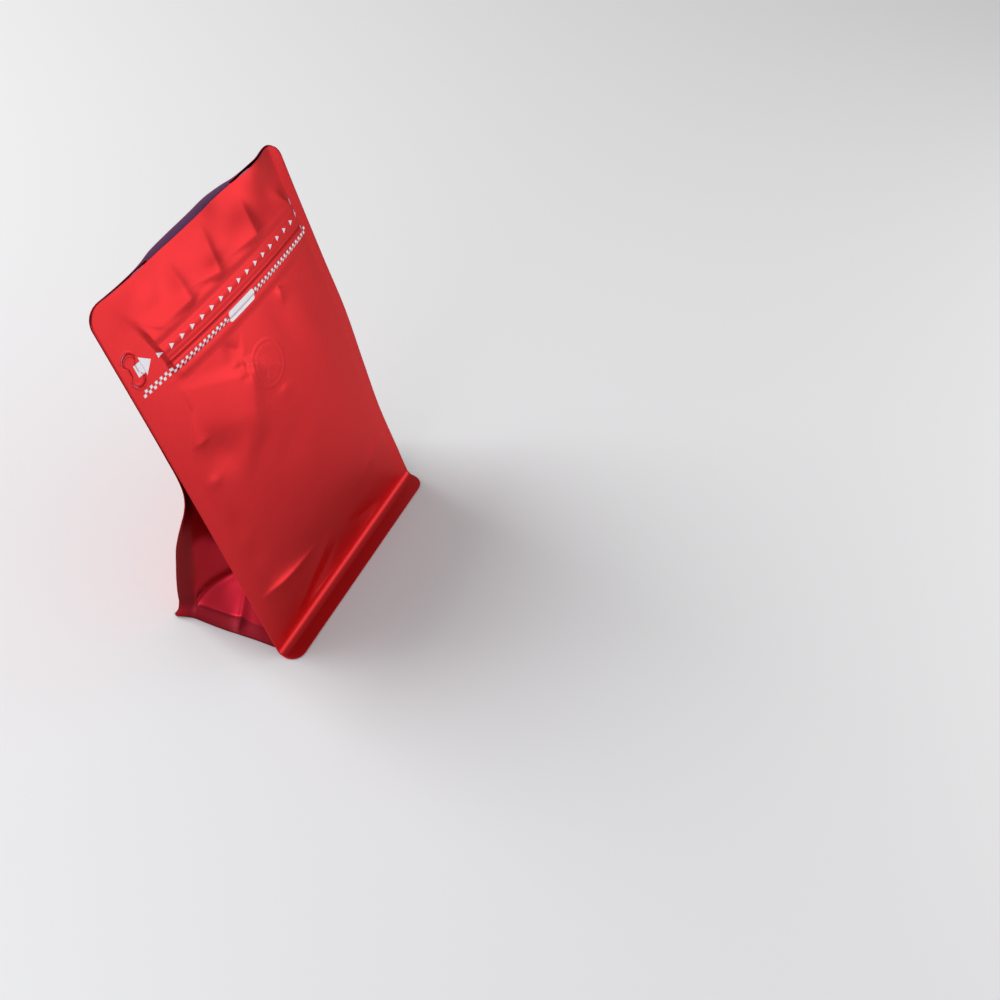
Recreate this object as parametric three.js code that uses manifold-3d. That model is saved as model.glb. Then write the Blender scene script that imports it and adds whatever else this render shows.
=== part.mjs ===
// Flat-bottomed foil coffee bag, empty and standing open.
// Five film webs (front, back, two side gussets, base) are sealed at their edges.
// The front carries a zip band, a tear tab and a one-way valve.
// Millimetres, +Z up, +X along the bag's width, -Y the printed front.
// The origin is the middle of the base's flat underside.
import * as THREE from 'three';
import Module from 'manifold-3d';
import { mergeVertices } from 'three/addons/utils/BufferGeometryUtils.js';

const wasm = await Module();
wasm.setup();

// ---- driving dimensions -------------------------------------------------
const WIDTH = 130;                          // film width of the front and the back
const HEIGHT = 200;                         // along the leaning front, base line to lip
const DEPTH = 60;                           // base depth between its two fold lines
const GUSSET_HALF = 32;                     // half of a gusset's width, inside the seals
const LEAN = THREE.MathUtils.degToRad(16);  // the front leans back by this angle
const FILM = 0.5;                           // wall of every web
const GAP = 0.3;                            // clearance between neighbouring webs
const SEAL = 5.5;                           // width of the side seals
const LIP_CORNER = 8;                       // rounded corners beside the mouth
const FOOT_CORNER = 10;                     // rounded corners of the base and its fins
const FRONT_FIN = 11;                       // radius of the front's flared bottom seal
const BACK_FIN = 6;                         // the same at the back

const CLOSED_HEIGHT = 108;                  // above this the side seals lie together
const SIDE_GAPE = 3;                        // how much the open sides belly out
const MOUTH_GAP = 6.6;                      // between the lips, at their middle
const BACK_DIP = 10;                        // how far the back's middle sinks in
const APEX_HEIGHT = 34;                     // top of the flat triangle in each gusset
const FOOT_DEPTH = 2.5;                     // how far that triangle reaches in at its foot
const FOLD_REACH = 0.98;                    // how near a gusset's creases come to its tip
const SEALED_LAYER = 1.5 * FILM + 1.3 * GAP; // from a web's outside to the gusset's middle
const CLOSED_STACK = 4 * FILM + 3 * GAP + 0.5; // front, folded gusset and back together
const CLOSING_SOFTNESS = 2.5;               // how gently the side seals come together
const EDGE_STEP = 0.8;                      // the gusset's edges stay this far inside
const FOOT_GAP = 0.4;                       // from the base up to the gussets

const ZIP = { left: 17, right: 123, low: 155.5, high: 176.5, rise: 0.5, rail: 0.8 };
const ZIP_RAILS = [157, 162.5, 171.5, 175];
const RAIL = { crest: 0.46, foot: 0.74 };   // half widths of a rail's top and its slope
const TAB = { u: 7.5, v: 167, lobe: 4, reach: 4.4, waist: 2.4, thick: 0.5, clear: 0.4 };
const VALVE = {
  u: 64.6, v: 128.1, rim: 11.5, groove: 9.8, disc: 9.25, rise: 1.2, sunk: 0.8, floor: 0.45,
  bevel: 0.3, shoulder: 0.84,
};
const PINHOLES = { count: 6, radius: 0.6, ring: 4.2, depth: 0.4 };

const FINISH = {
  film: { color: 0xc8282d, roughness: 0.38, metalness: 0.55 },
  gusset: { color: 0xa81f28, roughness: 0.4, metalness: 0.55 },
  embossed: { color: 0xc22a30, roughness: 0.35, metalness: 0.55 },
};

const BASE_TOP = FILM + GAP;                // the upright webs start above the base
const MIDDLE = WIDTH / 2;
const sinLean = Math.sin(LEAN);
const cosLean = Math.cos(LEAN);
const { lerp, clamp } = THREE.MathUtils;
const steps = (count) => Array.from({ length: count + 1 }, (_, i) => i / count);

// ---- the shape of the open bag ------------------------------------------
// Places on a web are u, the film's width from the left seal, and v, its height.
// Across its width the front is an arc. BEND lists its curvature up the bag.
const BEND = [[0, 0], [10, 0], [40, 0.0026], [128, 0.0032], [HEIGHT, 0.0011]];
const NEARLY_FLAT = 1e-6;

function bend(v) {
  const i = Math.max(1, BEND.findIndex(([height]) => v <= height));
  const [low, curveLow] = BEND[i - 1];
  const [high, curveHigh] = BEND[i];
  return Math.max(NEARLY_FLAT, lerp(curveLow, curveHigh, (v - low) / (high - low)));
}

function across(u, v) {
  return Math.sin(bend(v) * (u - MIDDLE)) / bend(v);
}

function bulge(u, v) {
  const k = bend(v);
  return (Math.cos(k * (u - MIDDLE)) - Math.cos(k * MIDDLE)) / k;
}

function leaningFront(u, v) {
  const out = bulge(u, v);
  const y = -DEPTH / 2 + v * sinLean - out * cosLean;
  return new THREE.Vector3(across(u, v), y, v * cosLean + out * sinLean);
}

// Front seal to back seal: DEPTH at the base, closing to a flat stack.
function sideGap(v) {
  const rise = Math.min(1, v * cosLean / CLOSED_HEIGHT);
  const open = DEPTH * (1 - rise) + SIDE_GAPE * Math.sin(Math.PI * rise) - CLOSED_STACK;
  return CLOSED_STACK + (open + Math.hypot(open, CLOSING_SOFTNESS)) / 2;
}

function backEdge(v) {
  return leaningFront(0, v).y + sideGap(v);
}

function backMiddle(v) {
  const lip = leaningFront(MIDDLE, HEIGHT).y + MOUTH_GAP;
  const rise = v / HEIGHT;
  return lerp(DEPTH / 2, lip, rise) - BACK_DIP * Math.sin(Math.PI * rise) ** 2;
}

function standingBack(u, v) {
  const side = (u - MIDDLE) / MIDDLE;
  const y = lerp(backMiddle(v), backEdge(v), side * side);
  return new THREE.Vector3(across(u, v), y, v * cosLean);
}

// The bottom seal flares outwards in a quarter round and ends flat on the base.
// `out` is -1 for the front and +1 for the back.
function withFin(web, radius, out) {
  const endHeight = BASE_TOP + FILM;
  const start = (endHeight + radius * (1 - sinLean)) / cosLean;
  const length = radius * (Math.PI / 2 - LEAN);
  const surface = (u, v) => {
    if (v >= start) return web(u, v);
    const heading = LEAN + (1 - v / start) * (Math.PI / 2 - LEAN);
    const at = web(u, start);
    at.y += out * radius * (cosLean - Math.cos(heading));
    at.z = Math.max(endHeight, at.z - radius * (Math.sin(heading) - sinLean));
    return at;
  };
  return { surface, start, length };
}

const front = withFin(leaningFront, FRONT_FIN, -1);
const back = withFin(standingBack, BACK_FIN, 1);

// Unit normal that points out of the bag; facing is +1 at the front, -1 at the back.
function normal(surface, u, v, facing) {
  const e = 0.02;
  const low = clamp(v - e, 0, HEIGHT - 2 * e);
  const along = surface(u + e, v).sub(surface(u - e, v));
  const up = surface(u, low + 2 * e).sub(surface(u, low));
  return along.cross(up).normalize().multiplyScalar(facing);
}

function offset(surface, u, v, facing, distance) {
  return surface(u, v).addScaledVector(normal(surface, u, v, facing), distance);
}

// How far a rounded corner has cut in, at a given distance from the web's end.
function cornerInset(distance, radius) {
  if (distance >= radius) return 0;
  return radius - Math.sqrt(radius ** 2 - (radius - distance) ** 2);
}

// ---- closed solids from grids of points ----------------------------------
function meshGeometry(positions, index) {
  const geometry = new THREE.BufferGeometry();
  geometry.setAttribute('position', new THREE.Float32BufferAttribute(positions, 3));
  geometry.setIndex(index);
  geometry.computeVertexNormals();
  return geometry;
}

// Each ring is a closed loop: the outer points, then the inner points backwards.
// Rings are joined in order, and the first and last are capped with strips.
function loft(rings) {
  const size = rings[0].length;
  const positions = rings.flat().flatMap((p) => [p.x, p.y, p.z]);
  const index = [];
  const quad = (a, b, c, d) => index.push(a, b, c, a, c, d);
  for (let row = 0; row < (rings.length - 1) * size; row += size) {
    for (let j = 0; j < size; j += 1) {
      const next = (j + 1) % size;
      quad(row + j, row + next, row + size + next, row + size + j);
    }
  }
  const top = (rings.length - 1) * size;
  for (let j = 0; j + 1 < size / 2; j += 1) {
    const facing = size - 1 - j;
    quad(j, facing, facing - 1, j + 1);
    quad(top + facing, top + j, top + j + 1, top + facing - 1);
  }
  return meshGeometry(positions, index);
}

// A sheet between two offsets of a web. rows lists { v, inset } upwards.
function sheet(surface, facing, { rows, columns, left, right, inner, outer }) {
  const rings = rows.map(({ v, inset }) => {
    const places = steps(columns).map((s) => lerp(left + inset, right - inset, s));
    const face = (u, distance) => offset(surface, u, v, facing, distance);
    const outside = places.map((u) => face(u, outer(v)));
    const inside = places.map((u) => face(u, inner));
    return facing > 0
      ? [...outside, ...inside.reverse()]
      : [...inside, ...outside.reverse()];
  });
  return loft(rings);
}

// Heights that the front, the back and the gussets share, so that their seals match.
const APEX = APEX_HEIGHT / cosLean;
const LOWEST_SHARED = 14;
const LEVELS = [
  ...steps(3).slice(0, -1).map((s) => lerp(LOWEST_SHARED, APEX, s)),
  ...steps(18).slice(0, -1).map((s) => lerp(APEX, HEIGHT - LIP_CORNER, s)),
  ...steps(4).map((s) => HEIGHT - LIP_CORNER * (1 - Math.sin(s * Math.PI / 2))),
];

function webRows(fin) {
  const inFin = steps(6).map((s) => fin.start * s ** 1.5);
  return [...inFin, ...LEVELS].map((v) => {
    const fromFoot = fin.length * v / fin.start;
    const atFoot = cornerInset(fromFoot, FOOT_CORNER);
    const atLip = cornerInset(HEIGHT - v, LIP_CORNER);
    return { v, inset: Math.max(atFoot, atLip) };
  });
}

function panel(fin, facing) {
  return sheet(fin.surface, facing, {
    rows: webRows(fin),
    columns: 16,
    left: 0,
    right: WIDTH,
    inner: -FILM,
    outer: () => 0,
  });
}

// ---- gussets ---------------------------------------------------------------
// One level of the left gusset's middle line, from the front seal round to the back.
function gussetLine(v) {
  const inset = EDGE_STEP + cornerInset(HEIGHT - v, LIP_CORNER);
  const z = v * cosLean;
  const rise = Math.min(1, z / APEX_HEIGHT);
  const depthAt = (height) => Math.sqrt(GUSSET_HALF ** 2 - (sideGap(height) / 2) ** 2);
  const depth = rise < 1 ? lerp(FOOT_DEPTH, depthAt(APEX), rise) : depthAt(v);
  const flange = Math.min(SEAL, (depth - inset) / 2);
  const sealed = (web, facing, u) => offset(web, u, v, facing, -SEALED_LAYER);
  const seal = (web, facing) => [inset, inset + flange].map((u) => sealed(web, facing, u));
  const [frontEdge, frontSeal] = seal(leaningFront, 1);
  const [backOuter, backSeal] = seal(standingBack, -1);
  const x = across(0, v) + depth;
  const middle = (leaningFront(0, v).y + backEdge(v)) / 2;
  const tips = [middle - FILM, middle + FILM];
  const fold = (sealPoint, tip) => {
    const onTriangle = lerp(sealPoint.y, tip, FOLD_REACH * rise);
    const foldX = rise < 1 ? x : lerp(sealPoint.x, x, FOLD_REACH);
    return new THREE.Vector3(foldX, onTriangle, z);
  };
  return [
    frontEdge, frontSeal, fold(frontSeal, tips[0]),
    ...tips.map((tip) => new THREE.Vector3(x, tip, z)),
    fold(backSeal, tips[1]), backSeal, backOuter,
  ];
}

// The line thickened to both sides, in plan, with mitred corners.
function thickened(line) {
  const plan = line.map((p) => new THREE.Vector2(p.x, p.y));
  const sideOf = (a, b) => {
    const d = b.clone().sub(a).normalize();
    return new THREE.Vector2(-d.y, d.x);
  };
  const shifts = plan.map((p, i) => {
    const before = i > 0 ? sideOf(plan[i - 1], p) : null;
    const after = i + 1 < plan.length ? sideOf(p, plan[i + 1]) : null;
    const mean = (before ?? after).clone().add(after ?? before).normalize();
    const spread = Math.max(0.5, mean.dot(before ?? after));
    return mean.multiplyScalar(FILM / 2 / spread);
  });
  const moved = (sign) => line.map((p, i) => (
    new THREE.Vector3(p.x + sign * shifts[i].x, p.y + sign * shifts[i].y, p.z)
  ));
  return [...moved(-1), ...moved(1).reverse()];
}

function leftGusset() {
  const lowest = (BASE_TOP + FOOT_GAP) / cosLean;
  const foot = [lowest, LOWEST_SHARED / 2];
  return loft([...foot, ...LEVELS].map((v) => thickened(gussetLine(v))));
}

function mirrored(geometry) {
  const copy = geometry.clone();
  copy.scale(-1, 1, 1);
  const order = Array.from(copy.index.array);
  for (let i = 0; i < order.length; i += 3) [order[i], order[i + 1]] = [order[i + 1], order[i]];
  copy.setIndex(order);
  return copy;
}

// ---- base, zip band, tear tab and valve -------------------------------------
function basePlate() {
  const low = front.surface(MIDDLE, 0).y;
  const high = back.surface(MIDDLE, 0).y;
  const r = FOOT_CORNER;
  const outline = new THREE.Shape();
  outline.moveTo(-MIDDLE + r, low);
  outline.absarc(MIDDLE - r, low + r, r, -Math.PI / 2, 0, false);
  outline.absarc(MIDDLE - r, high - r, r, 0, Math.PI / 2, false);
  outline.absarc(-MIDDLE + r, high - r, r, Math.PI / 2, Math.PI, false);
  outline.absarc(-MIDDLE + r, low + r, r, Math.PI, Math.PI * 1.5, false);
  return new THREE.ExtrudeGeometry(outline, { depth: FILM, bevelEnabled: false, curveSegments: 6 });
}

function zipBand() {
  const onRail = (v) => ZIP_RAILS.some((rail) => Math.abs(v - rail) < RAIL.crest * 1.01);
  const profile = [-RAIL.foot, -RAIL.crest, RAIL.crest, RAIL.foot];
  const rails = ZIP_RAILS.flatMap((rail) => profile.map((side) => rail + side));
  const rows = [ZIP.low, ...rails, ZIP.high].map((v) => ({ v, inset: 0 }));
  return sheet(leaningFront, 1, {
    rows,
    columns: 14,
    left: ZIP.left,
    right: ZIP.right,
    inner: GAP,
    outer: (v) => GAP + (onRail(v) ? ZIP.rail : ZIP.rise),
  });
}

// Puts a flat piece on the front at (u, v), its own +Z along the outward normal.
function placeOnFront(mesh, u, v, clearance) {
  const z = normal(leaningFront, u, v, 1);
  const x = leaningFront(u + 1, v).sub(leaningFront(u - 1, v)).normalize();
  const y = z.clone().cross(x);
  mesh.setRotationFromMatrix(new THREE.Matrix4().makeBasis(x, y, z));
  mesh.position.copy(offset(leaningFront, u, v, 1, clearance));
  return mesh;
}

// Two round lobes joined by a waist, as the die cuts it.
function tabGeometry() {
  const { lobe, reach, waist, thick } = TAB;
  const turn = Math.asin(waist / lobe);
  const outline = new THREE.Shape();
  outline.absarc(0, reach, lobe, -Math.PI / 2 + turn, Math.PI * 1.5 - turn, false);
  outline.absarc(0, -reach, lobe, Math.PI / 2 + turn, Math.PI * 2.5 - turn, false);
  outline.closePath();
  return new THREE.ExtrudeGeometry(outline, { depth: thick, bevelEnabled: false, curveSegments: 14 });
}

function asSolid(geometry) {
  const bare = geometry.index ? geometry.clone() : geometry;
  bare.deleteAttribute('normal');
  bare.deleteAttribute('uv');
  const merged = mergeVertices(bare, 1e-4);
  return new wasm.Manifold(new wasm.Mesh({
    numProp: 3,
    vertProperties: new Float32Array(merged.attributes.position.array),
    triVerts: new Uint32Array(merged.index.array),
  }));
}

function valveGeometry() {
  const { rim, groove, disc, rise, sunk, floor, bevel, shoulder } = VALVE;
  const crest = (rim + groove) / 2;
  const profile = [
    [0, 0], [rim, 0], [rim - bevel, shoulder], [crest, rise], [groove + bevel, shoulder],
    [groove, floor], [disc, floor], [disc - bevel, sunk], [0, sunk],
  ].map(([r, h]) => new THREE.Vector2(r, h));
  const turned = new THREE.LatheGeometry(profile, 32);
  turned.rotateX(Math.PI / 2);
  let solid = asSolid(turned);
  for (let i = 0; i < PINHOLES.count; i += 1) {
    const angle = i * 2 * Math.PI / PINHOLES.count;
    const hole = new THREE.CylinderGeometry(PINHOLES.radius, PINHOLES.radius, 2 * PINHOLES.depth, 8);
    hole.rotateX(Math.PI / 2);
    hole.translate(PINHOLES.ring * Math.cos(angle), PINHOLES.ring * Math.sin(angle), sunk);
    solid = solid.subtract(asSolid(hole));
  }
  const { vertProperties, triVerts } = solid.getMesh();
  return meshGeometry(Array.from(vertProperties), Array.from(triVerts));
}

// ---- the bag ------------------------------------------------------------------
function piece(name, geometry, finish) {
  const mesh = new THREE.Mesh(geometry, new THREE.MeshStandardMaterial(finish));
  mesh.name = name;
  return mesh;
}

const bag = new THREE.Group();
const leftSide = leftGusset();
bag.add(piece('base_panel', basePlate(), FINISH.gusset));
bag.add(piece('front_panel', panel(front, 1), FINISH.film));
bag.add(piece('back_panel', panel(back, -1), FINISH.film));
bag.add(piece('left_gusset', leftSide, FINISH.gusset));
bag.add(piece('right_gusset', mirrored(leftSide), FINISH.gusset));
bag.add(piece('zip_band', zipBand(), FINISH.embossed));
bag.add(placeOnFront(piece('tear_tab', tabGeometry(), FINISH.embossed), TAB.u, TAB.v, TAB.clear));
bag.add(placeOnFront(piece('valve', valveGeometry(), FINISH.embossed), VALVE.u, VALVE.v, GAP));

export default bag;
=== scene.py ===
"""A flat-bottomed foil coffee bag with a valve, empty and standing open.

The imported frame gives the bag's solids. This script dresses each of them with a web of
printed foil film: creased walls with sealed edges, an embossed zip band, a tear tab, a
degassing valve and the white printed marks. It adds a plain pale floor, soft light and a
camera. Lengths are worked out in millimetres on the film and written in metres.
"""

import logging
import math
from collections.abc import Callable, Sequence
from dataclasses import dataclass, field
from enum import Enum
from functools import cached_property

import bpy
import numpy as np
from mathutils import Matrix

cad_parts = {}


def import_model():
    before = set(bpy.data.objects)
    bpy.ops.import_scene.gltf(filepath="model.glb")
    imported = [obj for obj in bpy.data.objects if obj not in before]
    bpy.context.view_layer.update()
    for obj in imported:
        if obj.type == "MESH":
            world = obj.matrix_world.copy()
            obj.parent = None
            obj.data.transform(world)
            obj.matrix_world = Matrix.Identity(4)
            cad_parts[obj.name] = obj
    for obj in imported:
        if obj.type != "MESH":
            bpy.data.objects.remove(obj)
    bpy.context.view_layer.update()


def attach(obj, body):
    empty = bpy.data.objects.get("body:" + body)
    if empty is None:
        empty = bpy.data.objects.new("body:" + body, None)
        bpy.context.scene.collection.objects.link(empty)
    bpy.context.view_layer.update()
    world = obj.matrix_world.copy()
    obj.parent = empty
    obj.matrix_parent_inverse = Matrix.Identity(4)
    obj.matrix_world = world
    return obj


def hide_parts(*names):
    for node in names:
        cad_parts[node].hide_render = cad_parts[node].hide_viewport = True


LOG = logging.getLogger("coffee_bag")
MM = 0.001
BODY = "root"
# Millimetres between the film places that give a surface its normal.
NORMAL_STEP = 0.05
# Scale at which Blender's band wave gives about one rib per millimetre.
RIB_SCALE = 0.3183

Points = np.ndarray
Pair = tuple[float, float]
Triple = tuple[float, float, float]
Run = tuple[float, float, int]
Surface = Callable[[Points, Points], Points]
Faces = list[Sequence[int]]


class Slot(Enum):
    """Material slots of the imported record."""

    RED_FILM = "red_film"
    INNER_FOIL = "inner_foil"
    WHITE_PRINT = "white_print"


class Side(Enum):
    """Which side gusset of the bag, seen from its printed front."""

    LEFT = -1
    RIGHT = 1


class Finish(Enum):
    """What a piece is dressed in. Each value names a field of the palette."""

    RED = "red"
    # The gussets' red film, painted darker than the front's as painted shade.
    SIDE = "side"
    LINING = "lining"
    INK = "ink"


# ---- curves and masks ------------------------------------------------------------


def curve_through(x: Points, knots: tuple[Pair, ...]) -> Points:
    """Reads a smooth curve at x.

    Args:
        x: Places to read it at.
        knots: (x, y) pairs, with x rising.

    Returns:
        The curve's height at each place, held level beyond its ends.
    """
    xs, ys = np.array(knots, float).T
    slopes = np.gradient(ys, xs)
    x = np.clip(x, xs[0], xs[-1])
    i = np.clip(np.searchsorted(xs, x) - 1, 0, len(xs) - 2)
    span = xs[i + 1] - xs[i]
    t = (x - xs[i]) / span
    rest = 1 - t
    ends = ys[i] * (1 + 2 * t) * rest**2 + ys[i + 1] * (3 - 2 * t) * t**2
    return ends + span * (slopes[i] * t * rest**2 - slopes[i + 1] * rest * t**2)


def ease(x: Points) -> Points:
    """Rises smoothly from 0 at x = 0 to 1 at x = 1."""
    x = np.clip(x, 0.0, 1.0)
    return x * x * (3 - 2 * x)


def ramp(x: Points, span: tuple[float, float | Points]) -> Points:
    """Rises smoothly from 0 to 1 over a span, given as its start and its length."""
    return ease((x - span[0]) / span[1])


def mix(a: Points, b: Points, share: Points) -> Points:
    """a where share is 0, b where it is 1."""
    return a + (b - a) * share


def lengths(vectors: Points) -> Points:
    """The length of each vector, with its last axis kept."""
    return np.linalg.norm(vectors, axis=-1, keepdims=True)


@dataclass(frozen=True)
class Crease:
    """A ridge or a valley pressed into a web along a path.

    Attributes:
        path: (u, v) points on the film, in millimetres.
        height: How far it stands out. Negative for a valley.
        left: Fall-off width on the left of the path's direction.
        right: Fall-off width on its right.
        fade: Share of the length over which the start and the end fade.
        soft: Rounding of the crest.
    """

    path: tuple[Pair, ...]
    height: float
    left: float
    right: float
    fade: Pair = (0.3, 0.3)
    soft: float = 1.0

    def lift(self, u: Points, v: Points) -> Points:
        """Height of the crease at film places.

        Args:
            u: Across the film.
            v: Up the film.

        Returns:
            Millimetres outwards at each place.
        """
        nearest = np.full(u.shape, np.inf)
        side = np.zeros(u.shape)
        for (u0, v0), (u1, v1) in zip(self.path, self.path[1:]):
            du, dv = u1 - u0, v1 - v0
            length = math.hypot(du, dv)
            s = np.clip(((u - u0) * du + (v - v0) * dv) / length**2, 0, 1)
            off_u, off_v = u - u0 - s * du, v - v0 - s * dv
            distance = np.hypot(off_u, off_v)
            closer = distance < nearest
            nearest = np.where(closer, distance, nearest)
            turned = (du * off_v - dv * off_u) / (length * np.maximum(distance, 1e-6))
            side = np.where(closer, turned, side)
        (u0, v0), (u1, v1) = self.path[0], self.path[-1]
        chord = (u1 - u0) ** 2 + (v1 - v0) ** 2
        along = np.clip(((u - u0) * (u1 - u0) + (v - v0) * (v1 - v0)) / chord, 0, 1)
        start, end = (max(share, 1e-3) for share in self.fade)
        window = ease(along / start) * ease((1 - along) / end)
        width = mix(self.right, self.left, (1 + side) / 2) * (0.3 + 0.7 * window)
        rounded = np.hypot(nearest, self.soft) - self.soft
        return self.height * window * np.exp(-rounded / width)


@dataclass(frozen=True)
class Dent:
    """A soft round hollow or mound on a web.

    Attributes:
        centre: (u, v) of its middle.
        radii: Its size along and across its own direction.
        height: How far it stands out. Negative for a hollow.
        turn: Degrees that its direction is turned from u.
    """

    centre: Pair
    radii: Pair
    height: float
    turn: float = 0.0

    def lift(self, u: Points, v: Points) -> Points:
        """Height of the dent at film places.

        Args:
            u: Across the film.
            v: Up the film.

        Returns:
            Millimetres outwards at each place.
        """
        angle = math.radians(self.turn)
        du, dv = u - self.centre[0], v - self.centre[1]
        along = (du * math.cos(angle) + dv * math.sin(angle)) / self.radii[0]
        off = (dv * math.cos(angle) - du * math.sin(angle)) / self.radii[1]
        return self.height * np.exp(-(along**2) - off**2)


# ---- the open bag's shape --------------------------------------------------------


@dataclass(frozen=True)
class Fin:
    """The way a wall's bottom seal flares out: an arc and then a straight tail.

    Attributes:
        radius: Radius of the arc.
        flare: Angle from upright at which the arc ends.
        tail: Length of the straight part.
        corner: Radius of its round corners.
    """

    radius: float
    flare: float
    tail: float
    corner: float

    def length(self, lean: float) -> float:
        """Length of film in the fin of a wall that leans."""
        return self.radius * (self.flare - lean) + self.tail

    def drop(self, lean: float) -> float:
        """Height that the fin takes."""
        arc = self.radius * (math.sin(self.flare) - math.sin(lean))
        return arc + self.tail * math.cos(self.flare)


@dataclass(frozen=True)
class BagShape:
    """The smooth form of the open bag, before its creases. Millimetres.

    u runs across a web from its left edge and v up it from the base line.

    Attributes:
        width: Of the webs.
        height: Of the webs.
        depth: From the front to the back at the base line.
        lean: Angle of the front from upright.
        film: Thickness of the film.
        lip_corner: Radius of the round corners at the lip.
        front_fin: The front's bottom seal.
        back_fin: The back's bottom seal.
        floor_gap: Height of the fins' lowest edge.
        back_dip: How far the back sags inwards at half its height.
        mouth_gap: Gap between the lips' middles before it is eased to lip_gaps.
        bends: (v, curvature) of the walls across the bag.
        side_gaps: (z, distance) between the walls' side edges.
        lip_gaps: (u, distance) between the lips.
        right_edge: (v, shift) of the right side edge.
    """

    width: float = 130.0
    height: float = 200.0
    depth: float = 60.0
    lean: float = math.radians(16)
    film: float = 0.22
    lip_corner: float = 8.0
    front_fin: Fin = Fin(4.5, math.pi / 2, 6.6, 7.0)
    back_fin: Fin = Fin(10.5, 1.05, 0.0, 3.6)
    floor_gap: float = 0.65
    back_dip: float = 10.0
    mouth_gap: float = 5.0
    bends: tuple[Pair, ...] = (
        (0, 0), (8, 0), (22, 0.0009), (40, 0.0022), (62, 0.0029), (128, 0.0032), (165, 0.0022),
        (200, 0.0011),
    )
    side_gaps: tuple[Pair, ...] = (
        (0, 57), (14.6, 51.8), (29.1, 45.3), (44.3, 37.7), (56.6, 31.3), (66.5, 25.2),
        (78.1, 17.5), (88.7, 10.4), (96.5, 6), (104.1, 3), (112, 1.6), (122, 1.3), (200, 1.2),
    )
    lip_gaps: tuple[Pair, ...] = (
        (0, 1.0), (8, 1.1), (13, 1.4), (22, 1.7), (29, 2.0), (35, 2.6), (41, 3.6), (50, 4.3),
        (67, 4.6), (76, 4.5), (89, 3.4), (95, 2.8), (107, 2.9), (116, 1.9), (130, 1.2),
    )
    right_edge: tuple[Pair, ...] = (
        (0, 0), (25, -1), (50, -1.8), (80, -0.3), (108, 1.3), (140, 0.2), (180, -0.9),
        (200, -1.1),
    )

    def bend(self, v: Points) -> Points:
        """Curvature of the walls across the bag."""
        return np.maximum(1e-6, curve_through(v, self.bends))

    def across(self, u: Points, v: Points) -> Points:
        """x of a film place.

        Args:
            u: Across the film.
            v: Up the film.

        Returns:
            Millimetres to the right of the bag's middle.
        """
        k = self.bend(v)
        shift = curve_through(v, self.right_edge) * ease((u - 70) / 60) ** 1.5
        return np.sin(k * (u - self.width / 2)) / k + shift

    def bulge(self, u: Points, v: Points) -> Points:
        """How far the front bows out at a film place.

        Args:
            u: Across the film.
            v: Up the film.

        Returns:
            Millimetres, 0 at both side edges.
        """
        k = self.bend(v)
        half = self.width / 2
        return (np.cos(k * (u - half)) - np.cos(k * half)) / k

    def front_wall(self, u: Points, v: Points) -> Points:
        """A point of the leaning front, without its bottom fin.

        Args:
            u: Across the film.
            v: Up the film.

        Returns:
            (x, y, z) at each place.
        """
        out = self.bulge(u, v)
        y = -self.depth / 2 + v * math.sin(self.lean) - out * math.cos(self.lean)
        z = v * math.cos(self.lean) + out * math.sin(self.lean)
        return np.stack([self.across(u, v), y, z], -1)

    def back_wall(self, u: Points, v: Points) -> Points:
        """A point of the standing back, without its bottom fin.

        Args:
            u: Across the film.
            v: Up the film.

        Returns:
            (x, y, z) at each place.
        """
        z = v * math.cos(self.lean)
        edge = self.front_wall(0 * u, v)[..., 1] + curve_through(z, self.side_gaps)
        rise = v / self.height
        middle = self.width / 2 + 0 * u
        lip = self.front_wall(middle, self.height + 0 * v)[..., 1] + self.mouth_gap
        dip = self.back_dip * np.sin(np.pi * rise) ** 2
        centre = mix(self.depth / 2, lip, rise) - dip
        side = (u - self.width / 2) / (self.width / 2)
        y = mix(centre, edge, side**2)
        return np.stack([self.across(u, v), y, z], -1)

    def fin_start(self, fin: Fin) -> float:
        """Film height at which a bottom fin begins to flare."""
        return (self.floor_gap + fin.drop(self.lean)) / math.cos(self.lean)

    def with_fin(self, wall: Surface, fin: Fin, out: int, u: Points, v: Points) -> Points:
        """A wall whose bottom seal flares out.

        Args:
            wall: The wall without its fin.
            fin: Its fin.
            out: -1 towards the front, +1 towards the back.
            u: Across the film.
            v: Up the film.

        Returns:
            Points of the finned wall.
        """
        start = self.fin_start(fin)
        at = wall(u, np.maximum(v, start))
        run = (1 - np.clip(v / start, 0, 1)) * fin.length(self.lean)
        heading = self.lean + np.minimum(run / fin.radius, fin.flare - self.lean)
        tail = np.maximum(run - fin.radius * (fin.flare - self.lean), 0)
        reach = fin.radius * (math.cos(self.lean) - np.cos(heading)) + tail * math.sin(fin.flare)
        drop = fin.radius * (np.sin(heading) - math.sin(self.lean)) + tail * math.cos(fin.flare)
        at[..., 1] += out * reach
        at[..., 2] -= drop
        return at

    def front(self, u: Points, v: Points) -> Points:
        """A point of the front with its fin."""
        return self.with_fin(self.front_wall, self.front_fin, -1, u, v)

    def back(self, u: Points, v: Points) -> Points:
        """A point of the back with its fin."""
        return self.with_fin(self.back_wall, self.back_fin, 1, u, v)

    def edge_inset(self, v: Points, fin: Fin) -> Points:
        """How far the round corners at the lip and at the foot cut in.

        Args:
            v: Up the film.
            fin: The wall's bottom seal.

        Returns:
            Millimetres that are missing at each side edge.
        """
        run = v * fin.length(self.lean) / self.fin_start(fin)
        lip = self.corner_inset(self.height - v, self.lip_corner)
        return np.maximum(lip, self.corner_inset(run, fin.corner))

    def corner_inset(self, distance: Points, radius: float) -> Points:
        """How far a rounded corner has cut in, at a distance from the web's end."""
        left = np.clip(radius - distance, 0, radius)
        return radius - np.sqrt(radius**2 - left**2)


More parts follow.
